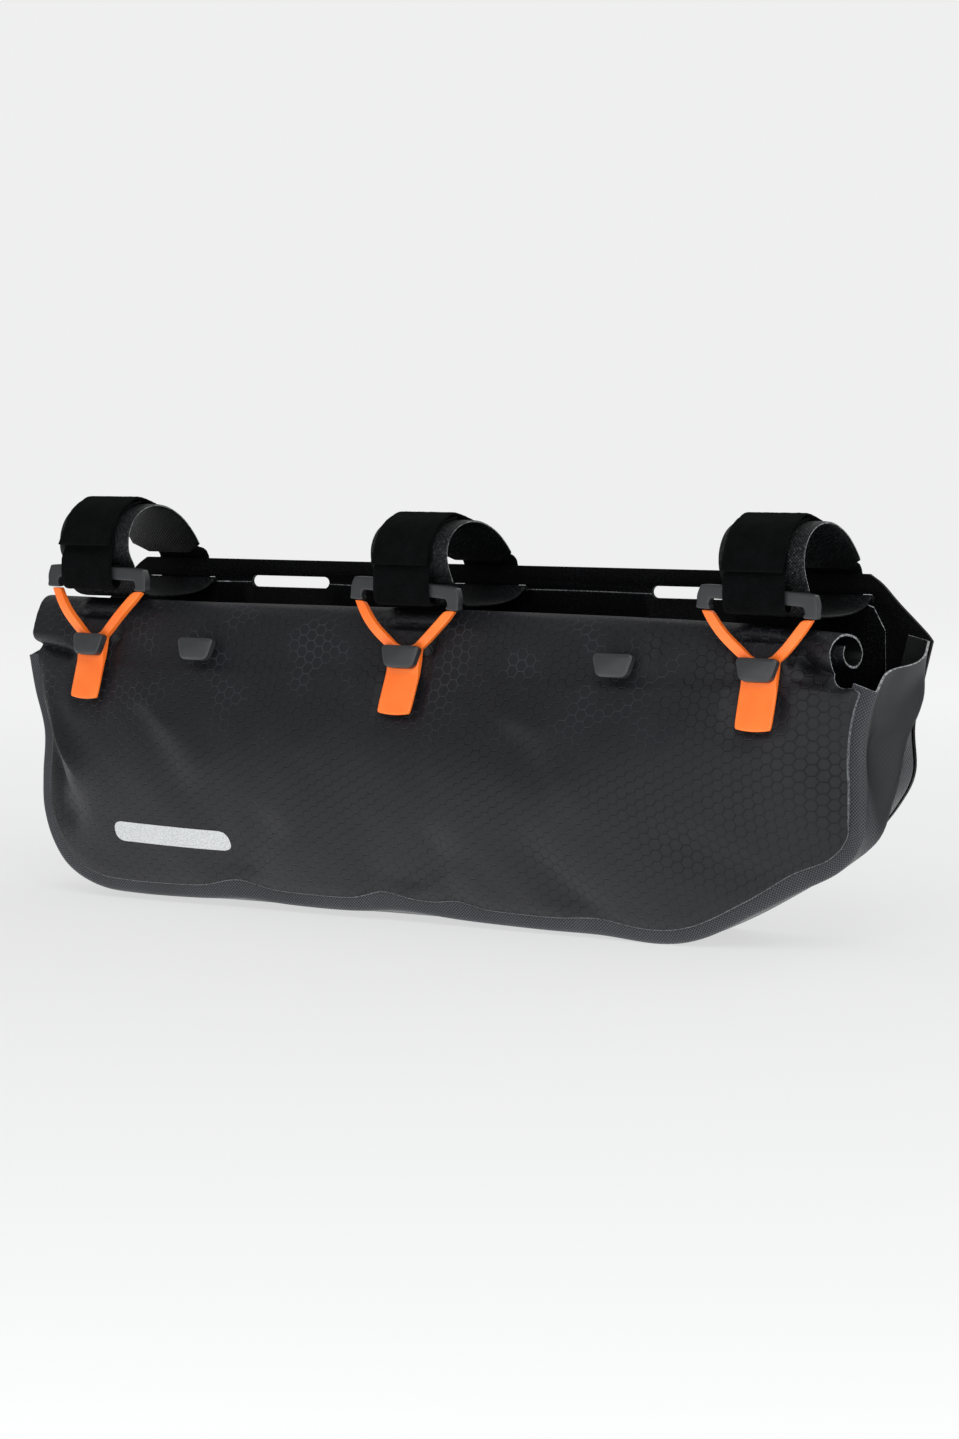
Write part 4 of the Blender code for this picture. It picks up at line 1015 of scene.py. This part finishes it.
def flange_lining():
    """The inner cloth's upper edge, seen on the flange through the open mouth."""
    half = 0.872 * HALF_LENGTH
    line = [(-half - 6.6, 100.0), (-half - 6.0, 122.0), (-half - 1.0, 131.0), (-half + 6.0, 133.6)]
    line += [(x, 134.0 + 0.35 * math.sin(x / 23.0)) for x in np.linspace(-half + 14.0, half - 14.0, 60)]
    line += [(half - 6.0, 133.6), (half + 1.0, 131.0), (half + 6.0, 122.0), (half + 6.6, 100.0)]
    top = np.array(line)
    rows = [[(x, LINING_Y + LINING_EDGE_BACK, z) for x, z in top]]
    rows += [[(x, LINING_Y, z - drop) for x, z in top] for drop in (0.35, 1.2)]
    rows.append([(x, LINING_Y, LINING_LOW_Z) for x, z in top])
    outer = np.array(rows)
    inner = outer + (0.0, LINING_THICKNESS, 0.0)
    cloth = np.stack([outer[:, :, 0] + FLAT_ZERO, outer[:, :, 2] + FLAT_ZERO], axis=2)
    slots = np.zeros((3, len(top) - 1), int)
    slots[0] = np.where(np.abs(top[1:, 0]) > 128.0, 2, 3)
    materials = [FLANGE_CLOTH, LINING, CUT_EDGE, WELDED_EDGE]
    made = sheet("flange_lining", outer, inner, materials, cloth, slots, 1)
    punch_slots(made, SEAM_BACK_Y, SEAM_BACK_Y + BACK_SHEET)
    return done(made, "flange_weave")


back_panel()
flange_lining()

# %% [markdown]
# ## Straps
# Each set has three: the wide woven band from its slot over the roll, up the front and over the
# tube; the narrow pile strap that goes round the bar of the bridge; and the outer strap whose free
# end lies over them in front. A flat strap is modelled directly, because a cloth simulation loses
# its edges: a rounded section follows the strap's line, and the surface of the pile is roughened.

# %% Straps
# points across one face of a strap
ACROSS = 27
# no rim of the pile straps shows; the band's pale cut rim is drawn only in front of this place, and behind it
# the rim keeps the dark weave as painted shade
NO_RIM = 999.0
LIT_RIM_BEFORE_Y = 18.0
PILE_FUZZ = 0.045


def strap(name, line, widths, x, materials, lit_rim_over, fuzz, rng):
    """A flat strap. Its pale cut rim, the second material, is drawn only where the line is high enough and
    lies in front; elsewhere the rim keeps the first material, a painted shade.
    """
    line = np.asarray(line, float)
    side = normals_2d(line)
    half_t = STRAP / 2.0
    section = [(s, 1.0) for s in np.linspace(-1.0, 1.0, ACROSS)] + [(1.0, 0.45), (1.0, -0.45)]
    section += [(s, -1.0) for s in np.linspace(1.0, -1.0, ACROSS)] + [(-1.0, -0.45), (-1.0, 0.45)]
    size = len(section)
    grid = np.empty((len(line), size, 3))
    for i, (point, out, width) in enumerate(zip(line, side, np.broadcast_to(widths, len(line)))):
        for j, (s, t) in enumerate(section):
            extra, flatter = 0.0, 1.0
            if abs(s) > 0.99:
                extra, flatter = 0.12 if abs(t) < 0.5 else -0.35, 0.82
            reach = s * (width / 2.0 + extra)
            depth = t * half_t * flatter
            grid[i, j] = (x + reach, point[0] + out[0] * depth, point[1] + out[1] * depth)
    if fuzz:
        rough = rng.normal(0.0, fuzz, grid.shape[:2])
        grid[:, :, 1] += rough * side[:, 0][:, None]
        grid[:, :, 2] += rough * side[:, 1][:, None]
        grid[:, :, 0] += rng.normal(0.0, fuzz * 0.7, grid.shape[:2])
    along = lengths_along(line)
    faces, slots = [], []
    for i in range(len(line) - 1):
        # painted shade: outside the lit front of the arch, the band's cut rim is given the dark weave
        shown = line[i, 1] > lit_rim_over and line[i, 0] < LIT_RIM_BEFORE_Y
        for j in range(size):
            n = (j + 1) % size
            faces.append((i * size + j, i * size + n, (i + 1) * size + n, (i + 1) * size + j))
            slots.append(1 if shown and j in (ACROSS, 2 * ACROSS + 2) else 0)
    for start in (0, (len(line) - 1) * size):
        a, b = start + ACROSS, start + 2 * ACROSS
        faces += [(start + j, start + j + 1, b - j, b + 1 - j) for j in range(ACROSS - 1)]
        faces += [(a - 1, a, a + 1, a + 2), (start, b + 1, b + 2, b + 3)]
    slots += [0] * (len(faces) - len(slots))
    uv = [(s * BAND_WIDTH / 2.0 + STRAP_ZERO, step + STRAP_ZERO) for step in along for s, _ in section]
    return new_object(name, grid.reshape(-1, 3), faces, materials, slots, uv, 60.0)


def raised(line, top):
    line = np.array(line, float)
    above = line[:, 1] > ARCH_SPRING_Z
    stretch = (top - ARCH_SPRING_Z) / (ARCH_DRAWN_Z - ARCH_SPRING_Z)
    line[above, 1] = ARCH_SPRING_Z + (line[above, 1] - ARCH_SPRING_Z) * stretch
    return line


def outward(line, first, last, distance):
    out = normals_2d(line)
    middle = line[BAND_ARCH_FROM:].mean(axis=0)
    if np.dot(out[STRAP_TOP_AT], line[STRAP_TOP_AT] - middle) < 0:
        out = -out
    return [tuple(line[i] + out[i] * distance) for i in range(first, last)]


def strap_set(number, share, top, rise, end_rise):
    rng = np.random.default_rng(40 + number)
    x = share * STRAP_PITCH
    band = raised(BAND_LINE, top - 2.0 * LAYER - STRAP / 2.0)
    band[BAND_RISES_FROM:BAND_ARCH_FROM, 1] += rise * np.array(BAND_RISE)
    fine = spread(smooth_line(band, 7), 190)
    to_end = lengths_along(fine)[-1] - lengths_along(fine)
    widths = BAND_WIDTH - (BAND_WIDTH - BAND_END_WIDTH) * np.clip(1.0 - to_end / BAND_CHAMFER, 0.0, 1.0)
    made = strap("ring_band_cloth_%d" % number, fine, widths, x + BAND_OFFSET, [BAND_WEAVE, BAND_EDGE],
                 BRIDGE_TOP_Z, 0.0, rng)
    done(made, "band_weave", "ring_band_%d" % number)
    turn = [(y, z + rise) for y, z in STRAP_TURN[:-1]] + [(STRAP_TURN[-1][0], STRAP_TURN[-1][1] + rise / 2.0)]
    inner = spread(smooth_line(turn + outward(band, BAND_ARCH_FROM, STRAP_TOP_AT + 1, LAYER), 7), 120)
    made = strap("loop_strap_cloth_%d" % number, inner, STRAP_WIDTH, x, [PILE], NO_RIM, PILE_FUZZ, rng)
    done(made, "loop_pile", "loop_strap_%d" % number)
    over = [(OUTER_FREE_END[0], OUTER_FREE_END[1] + end_rise)]
    over += outward(band, BAND_ARCH_FROM + 1, STRAP_TOP_AT + 1, 2.0 * LAYER)
    over += outward(band, STRAP_TOP_AT + 2, len(band) - 1, 1.3 * LAYER) + list(OUTER_TAIL)
    over = spread(smooth_line(over, 7), 170)
    made = strap("hook_strap_cloth_%d" % number, over, STRAP_WIDTH, x, [PILE], NO_RIM, PILE_FUZZ, rng)
    done(made, "loop_pile", "hook_strap_%d" % number)


for number, (share, top, _, rise, _, _, end_rise, _) in enumerate(STRAPS, 1):
    strap_set(number, share, top, rise, end_rise)

# %% [markdown]
# ## Bridges
# A moulded nylon fitting: a bar that the straps turn round and two posts whose feet hold the ends
# of the elastic. It is drawn as one strip of quads for the right half, mirrored, thickened and
# rounded with a bevel and subdivision, as a soft-cornered moulding is. One is made, three are used.

# %% Bridges
def bridge_mould():
    half = BRIDGE_WIDTH / 2.0
    bpy.ops.mesh.primitive_plane_add(size=1.0)
    made = bpy.context.object
    made.name = "bridge_mould"
    mesh = made.data
    low, bar = BRIDGE_LOW_Z - BRIDGE_TOP_Z, -BAR_HEIGHT
    for vertex, (px, pz) in zip(mesh.vertices, ((0.0, bar), (12.0, bar), (0.0, 0.0), (12.0, 0.0))):
        vertex.co = (px, 0.0, pz)
    bpy.ops.object.mode_set(mode="EDIT")
    bpy.ops.mesh.select_mode(type="EDGE")
    body = bmesh.from_edit_mesh(mesh)

    def pull_edge(where, targets):
        """Extrudes the edge found by its place and sets its new ends."""
        bpy.ops.mesh.select_all(action="DESELECT")
        for item in body.edges:
            item.select = all(where(v.co) for v in item.verts)
        bpy.ops.mesh.extrude_region_move()
        fresh = [v for v in body.verts if v.select]
        fresh.sort(key=lambda v: (round(v.co.x, 3), round(v.co.z, 3)))
        for v, target in zip(fresh, targets):
            v.co = (target[0], 0.0, target[1])
        bmesh.update_edit_mesh(mesh)

    inner = half - POST_WIDTH
    pull_edge(lambda c: c.x > 11.9, ((inner, bar), (inner, 0.0)))
    pull_edge(lambda c: c.x > inner - 0.1, ((half, bar + 0.6), (half - 1.6, -0.4)))
    pull_edge(lambda c: c.x > inner - 0.1 and c.z < bar + 0.7,
              ((inner + 0.9, bar - 2.4), (half - 0.5, bar - 2.0)))
    pull_edge(lambda c: bar - 2.5 < c.z < bar - 1.9,
              ((inner + 0.1, low + 1.2), (half - 0.1, low + 1.2)))
    pull_edge(lambda c: abs(c.z - low - 1.2) < 0.01, ((inner + 0.2, low), (half - 0.4, low)))
    bpy.ops.object.mode_set(mode="OBJECT")
    flip = made.modifiers.new("other half", "MIRROR")
    flip.use_clip = True
    thick = made.modifiers.new("thickness", "SOLIDIFY")
    thick.thickness, thick.offset = BRIDGE_THICKNESS, 0.0
    edge = made.modifiers.new("edge", "BEVEL")
    edge.width, edge.segments, edge.limit_method, edge.angle_limit = 0.7, 2, "ANGLE", math.radians(50)
    smooth = made.modifiers.new("smooth", "SUBSURF")
    smooth.levels = 2
    apply_all(made)
    return made


def settled(piece, name, material, transform, slot, *nodes):
    """A copy with its own mesh, its place written into the mesh."""
    mesh = piece.data.copy()
    mesh.transform(transform)
    mesh.materials.clear()
    mesh.materials.append(material)
    mesh.update()
    mesh.shade_smooth()
    made = bpy.data.objects.new(name, mesh)
    bpy.context.scene.collection.objects.link(made)
    return done(made, slot, *nodes)


MOULD = bridge_mould()
for number, (share, _, _, rise, move, turn, _, _) in enumerate(STRAPS, 1):
    bar_x = share * STRAP_PITCH + BRIDGE_OFFSET + move
    centre = Vector((bar_x, BRIDGE_Y, BRIDGE_TOP_Z + rise)) + Vector(SHIFT)
    place = Matrix.Scale(MM, 4) @ Matrix.Translation(centre) @ Matrix.Rotation(math.radians(turn), 4, "Y")
    settled(MOULD, "bridge_moulding_%d" % number, PLASTIC, place, "hard_plastic", "bridge_%d" % number)
bpy.data.objects.remove(MOULD, do_unlink=True)

# %% [markdown]
# ## Elastic pulls
# Each is one Y of orange elastomer: two arms from the bridge's feet, a ring that lies round the
# hook's stem and a finger tab. A flat strip of quads is drawn, thickened, and rounded by a bevel
# and subdivision, which gives the soft moulded edge.

# %% Elastic pulls
def tilted(x, across, up, away):
    y = float(panel_y(np.array([x]), np.array([HOOK_Z]))[0])
    return (x + across, y + up * math.sin(HOOK_TILT) - away * math.cos(HOOK_TILT),
            HOOK_Z + up * math.cos(HOOK_TILT) + away * math.sin(HOOK_TILT))


ARM_BOW = 2.2
TAB_THINNER = 0.55


def pull(number, x, tab_lean, rise, move, turn, yaw):
    middle = CLEARANCE + PULL_PLAY + PULL_THICKNESS / 2.0
    hole_w, hole_h = HOOK_STEM_WIDTH / 2.0 + PULL_PLAY, HOOK_STEM_HEIGHT / 2.0 + PULL_PLAY
    tilt = math.radians(turn)
    arm_x = BRIDGE_WIDTH / 2.0 - ARM_INSET
    ring_z = HOOK_Z + middle * math.sin(HOOK_TILT)
    points, faces = [], []

    def place(across, z, y=None):
        if y is None:
            y = tilted(x, 0.0, (z - ring_z) / math.cos(HOOK_TILT), middle)[1]
        points.append((x + across, y, z))
        return len(points) - 1

    def around(outline, width, up, down, top):
        half = [(i * width, ring_z + k * (up if k > 0.0 else down)) for i, k in outline]
        closed = half + [(0.0, ring_z + top * up)] + [(-i, z) for i, z in half[::-1]]
        return [place(i, z) for i, z in closed + [(0.0, ring_z - down)]]

    high, low = ring_z + RING_UP, ring_z - RING_DOWN
    outer = around(((1.0, -1.0), (1.03, 0.0), (1.0, 0.69), (0.57, 1.0)), RING_HALF_WIDTH,
                   RING_UP, RING_DOWN, 0.88)
    inner = around(((1.0, -1.0), (1.0, 0.0), (1.0, 0.78), (0.82, 1.0)), hole_w, hole_h, hole_h, 1.0)
    for k in range(len(outer)):
        n = (k + 1) % len(outer)
        faces.append((outer[k], outer[n], inner[n], inner[k]))
    ring_y = tilted(x, 0.0, RING_UP / math.cos(HOOK_TILT), middle)[1]
    for side, base in ((1, (outer[2], outer[3])), (-1, (outer[6], outer[5]))):
        last = base
        drop = BRIDGE_LOW_Z - BRIDGE_TOP_Z
        foot_x = BRIDGE_OFFSET + move + side * arm_x * math.cos(tilt) + drop * math.sin(tilt)
        top_z = BRIDGE_TOP_Z + rise - side * arm_x * math.sin(tilt) + drop * math.cos(tilt) - CLEARANCE
        root = np.array([0.78 * RING_HALF_WIDTH, ring_z + 0.85 * RING_UP])
        tip = np.array([side * foot_x, top_z])
        way = (tip - root) / np.linalg.norm(tip - root)
        square = np.array([way[1], -way[0]]) * ARM_WIDTH / 2.0
        for t in np.linspace(0.125, 1.0, 8):
            bow = 0.45 * math.sin(math.pi * t) if t < 1.0 else 0.0
            centre = root + t * (tip - root) + square * bow
            y = ring_y + (BRIDGE_Y - ring_y) * max(0.0, (t - 0.3) / 0.7) - ARM_BOW * math.sin(math.pi * t)
            if t == 1.0:
                a = place(side * (centre[0] + ARM_WIDTH / 2.0), top_z, y)
                b = place(side * (centre[0] - ARM_WIDTH / 2.0), top_z, y)
            else:
                far, near = centre + square, centre - square
                a, b = place(side * far[0], far[1], y), place(side * near[0], near[1], y)
            faces.append((last[0], a, b, last[1]))
            last = (a, b)
    last = (outer[0], outer[9], outer[8])
    tab_from = len(points)
    half = TAB_WIDTH / 2.0
    rows = ((0.06, 0.0), (0.3, 0.0), (0.65, 0.0), (0.90, 0.1), (0.97, 0.35), (1.0, 0.9))
    start, slope = points[outer[9]][1], 0.0
    for t, _ in rows:
        z = low + t * (TAB_END_Z - low)
        reach = min(surface_y(x - tab_lean * t + k * half, z + dz)
                    for k in (-1, 0, 1) for dz in (-3.0, 0.0, 3.0))
        slope = min(slope, (reach - TAB_CLEAR - PULL_THICKNESS / 2.0 - start) / max(t, 0.65))
    print("the tab of pull", number, "comes forward by", round(-slope, 1), "mm")
    for t, narrow in rows:
        z, lean = low + t * (TAB_END_Z - low), -tab_lean * t
        y = start + slope * t
        drop = 0.8 if t == 1.0 else 0.0
        now = (place(lean + half - narrow, z, y), place(lean, z - drop, y), place(lean - half + narrow, z, y))
        faces.append((last[0], last[1], now[1], now[0]))
        faces.append((last[1], last[2], now[2], now[1]))
        last = now
    arm_height = BRIDGE_LOW_Z + rise - high
    for k, (px, py, pz) in enumerate(points):
        angle = math.radians(yaw) * min(1.0, max(0.0, 1.0 - (pz - high) / arm_height))
        ax, ay = px - x, py - ring_y
        points[k] = (x + ax * math.cos(angle) - ay * math.sin(angle),
                     ring_y + ax * math.sin(angle) + ay * math.cos(angle), pz)
    made = new_object("elastic_pull_%d" % number, points, faces, [RUBBER])
    thick = made.modifiers.new("thickness", "SOLIDIFY")
    thick.thickness, thick.offset = PULL_THICKNESS * MM, 0.0
    full = made.vertex_groups.new(name="full thickness")
    full.add(list(range(tab_from)), 1.0, "REPLACE")
    thick.vertex_group, thick.thickness_vertex_group = full.name, TAB_THINNER
    edge = made.modifiers.new("edge", "BEVEL")
    edge.width, edge.segments, edge.limit_method, edge.angle_limit = 0.6 * MM, 2, "ANGLE", math.radians(50)
    smooth = made.modifiers.new("smooth", "SUBSURF")
    smooth.levels = 2
    apply_all(made)
    made.data.shade_smooth()
    return done(made, "elastic_rubber", "pull_%d" % number)


for number, (share, _, lean, rise, move, turn, _, yaw) in enumerate(STRAPS, 1):
    pull(number, share * STRAP_PITCH, lean, rise, move, turn, yaw)

# %% [markdown]
# ## Hooks
# A hook is a small trapezoid cap on a stem, moulded in one. It starts as a cube, its lower side is
# drawn in, its corners are rounded by a bevel, and its back is inset and extruded into the stem.

# %% Hooks
def hook_mould():
    bpy.ops.mesh.primitive_cube_add(size=1.0)
    made = bpy.context.object
    made.name = "hook_mould"
    for v in made.data.vertices:
        width = HOOK_TOP_WIDTH if v.co.z > 0 else HOOK_LOW_WIDTH
        v.co = (v.co.x * width, v.co.y * HOOK_CAP, v.co.z * HOOK_HEIGHT)
    bpy.ops.object.mode_set(mode="EDIT")
    body = bmesh.from_edit_mesh(made.data)
    bpy.ops.mesh.select_mode(type="EDGE")
    bpy.ops.mesh.select_all(action="DESELECT")
    for item in body.edges:
        item.select = abs(item.verts[0].co.y - item.verts[1].co.y) > 1.0
    bpy.ops.mesh.bevel(offset=2.3, segments=5, profile=0.5)
    bpy.ops.mesh.select_mode(type="FACE")
    bpy.ops.mesh.select_all(action="DESELECT")
    body = bmesh.from_edit_mesh(made.data)
    body.faces.ensure_lookup_table()
    for face in body.faces:
        face.select = face.normal.y > 0.9
    bpy.ops.mesh.inset(thickness=2.4)
    bpy.ops.transform.resize(value=(HOOK_STEM_WIDTH / 13.0, 1.0, 1.0), center_override=(0.0, 0.0, 0.0))
    bpy.ops.mesh.extrude_region_move(TRANSFORM_OT_translate={"value": (0.0, HOOK_STEM, 0.0)})
    bpy.ops.mesh.select_all(action="DESELECT")
    body = bmesh.from_edit_mesh(made.data)
    for face in body.faces:
        face.select = face.normal.y < -0.9
    bpy.ops.mesh.inset(thickness=1.2, depth=0.7)
    bpy.ops.object.mode_set(mode="OBJECT")
    edge = made.modifiers.new("edge", "BEVEL")
    edge.width, edge.segments, edge.limit_method, edge.angle_limit = 0.45, 3, "ANGLE", math.radians(40)
    apply_all(made)
    return made


MOULD = hook_mould()
for number, x in enumerate(HOOK_XS, 1):
    centre = tilted(x, 0.0, 0.0, CLEARANCE + HOOK_STEM + HOOK_CAP / 2.0)
    yaw = math.radians(STRAPS[number // 2][7]) if number % 2 else 0.0
    place = Matrix.Scale(MM, 4) @ Matrix.Translation(Vector(centre) + Vector(SHIFT))
    place = place @ Matrix.Rotation(yaw, 4, "Z") @ Matrix.Rotation(-HOOK_TILT, 4, "X")
    settled(MOULD, "hook_moulding_%d" % number, PLASTIC, place, "hard_plastic", "hook_%d" % number)
bpy.data.objects.remove(MOULD, do_unlink=True)

# %% [markdown]
# ## Reflective bar
# A plain printed bar low on the left of the front panel. It is a thin film that follows the cloth.

# %% Reflective bar
def reflective_bar():
    half_x, half_z, corner, tilt = 30.0, 4.4, 4.0, -0.02
    grid = []
    for t in np.linspace(-1.0, 1.0, 17):
        over = max(0.0, abs(t) * half_z - half_z + corner)
        room = half_x - corner + math.sqrt(corner**2 - over**2)
        row = []
        for s in np.linspace(-1.0, 1.0, 81):
            x, z = -117.0 + s * room, 28.2 + t * half_z + s * room * tilt
            row.append((x, surface_y(x, z) - 0.12, z))
        grid.append(row)
    outer = np.array(grid)
    cloth = np.stack([outer[:, :, 0] + CLOTH_ZERO, outer[:, :, 2] + CLOTH_ZERO], axis=2)
    made = sheet("reflective_bar", outer, outer + (0.0, 0.3, 0.0), [REFLECTIVE] * 3, cloth)
    return done(made, "panel_fabric")


reflective_bar()

# %% [markdown]
# ## Studio
# A pale bowl of a floor with no horizon, lit from below as a product table is, so that it stays
# even. A broad soft light stands above the camera, a weaker one to the right, one behind the bag,
# and a low one in front gives the lower cloth its paler tone.

# %% Floor, lights and camera
TABLE_GLOW, WALL_GLOW = 1.3, 0.3
TABLE_SEEN, WALL_SEEN = 0.62, 0.72
WORLD_GLOW, WORLD_SEEN = 0.55, 0.87


def seen_as(tree, light, shown):
    """What a surface sends out: light to the scene, and an even pale tone straight to the eye."""
    direct = add(tree, "ShaderNodeLightPath").outputs["Is Camera Ray"]
    return add(tree, "ShaderNodeMix", {0: direct, 2: light, 3: shown}).outputs[0]


def studio_floor():
    profile = [(0.0, 0.0), (2.6, 0.0)]
    profile += [(2.6 + 1.6 * math.sin(a), 1.6 - 1.6 * math.cos(a)) for a in np.linspace(0.1, math.pi / 2, 14)]
    profile += [(4.2, 2.2)]
    turns = 96
    angles = [2 * math.pi * k / turns for k in range(turns)]
    points = [(0.0, 0.0, 0.0)]
    for r, z in profile[1:]:
        points += [(r * math.cos(angle), r * math.sin(angle), z) for angle in angles]
    faces = [(0, 1 + k, 1 + (k + 1) % turns) for k in range(turns)]
    for ring in range(len(profile) - 2):
        a, b = 1 + ring * turns, 1 + (ring + 1) * turns
        faces += [(a + k, b + k, b + (k + 1) % turns, a + (k + 1) % turns) for k in range(turns)]
    mesh = bpy.data.meshes.new("studio_floor")
    mesh.from_pydata(points, [], faces)
    mesh.shade_smooth()
    made, tree, shader = new_material("pale_acrylic_table", "#8A8B8B", 0.9)
    shader.inputs["Specular IOR Level"].default_value = 0.0
    shader.inputs["Emission Color"].default_value = (1.0, 1.0, 1.0, 1.0)
    away = add(tree, "ShaderNodeVectorMath", {0: object_place(tree)}, operation="LENGTH").outputs["Value"]
    glow = ramp(tree, away, 0.35, 1.1, TABLE_GLOW, WALL_GLOW)
    shown = ramp(tree, away, 0.25, 1.2, TABLE_SEEN, WALL_SEEN)
    tree.links.new(seen_as(tree, glow, shown), shader.inputs["Emission Strength"])
    mesh.materials.append(made)
    floor = bpy.data.objects.new("studio_floor", mesh)
    bpy.context.scene.collection.objects.link(floor)


def area_light(name, place, target, size, power, colour=(1.0, 1.0, 1.0)):
    light = bpy.data.lights.new(name, "AREA")
    light.shape, light.size, light.size_y = "RECTANGLE", size[0], size[1]
    light.energy, light.color = power, colour
    made = bpy.data.objects.new(name, light)
    made.location = place
    made.rotation_euler = (Vector(target) - Vector(place)).to_track_quat("-Z", "Y").to_euler()
    made.visible_camera = False
    bpy.context.scene.collection.objects.link(made)


studio_floor()
area_light("key", (0.9, -1.5, 1.6), (0.0, 0.0, 0.08), (1.2, 1.0), 15.0)
area_light("fill", (1.7, -0.7, 0.7), (0.0, 0.0, 0.08), (0.9, 1.2), 6.0)
area_light("low_front", (0.35, -0.85, 0.03), (0.08, 0.0, 0.06), (1.0, 0.3), 2.5)
area_light("rim", (0.6, 1.5, 1.2), (0.05, 0.0, 0.12), (1.2, 0.6), 5.0)
world = bpy.data.worlds.new("studio")
world.use_nodes = True
world.node_tree.nodes["Background"].inputs["Color"].default_value = (1.0, 1.0, 1.0, 1.0)
sky = world.node_tree.nodes["Background"]
world.node_tree.links.new(seen_as(world.node_tree, WORLD_GLOW, WORLD_SEEN), sky.inputs["Strength"])
bpy.context.scene.world = world
bpy.context.scene.view_settings.view_transform = "Standard"

camera = bpy.data.cameras.new("camera")
camera.lens, camera.sensor_width, camera.clip_start = 85.2, 36.0, 0.05
view = bpy.data.objects.new("camera", camera)
turn, drop = math.radians(30.0), math.radians(5.0)
view.location = (0.7179, -1.2142, 0.2073)
way = Vector((-math.sin(turn) * math.cos(drop), math.cos(turn) * math.cos(drop), -math.sin(drop)))
view.rotation_euler = way.to_track_quat("-Z", "Y").to_euler()
bpy.context.scene.collection.objects.link(view)
bpy.context.scene.camera = view
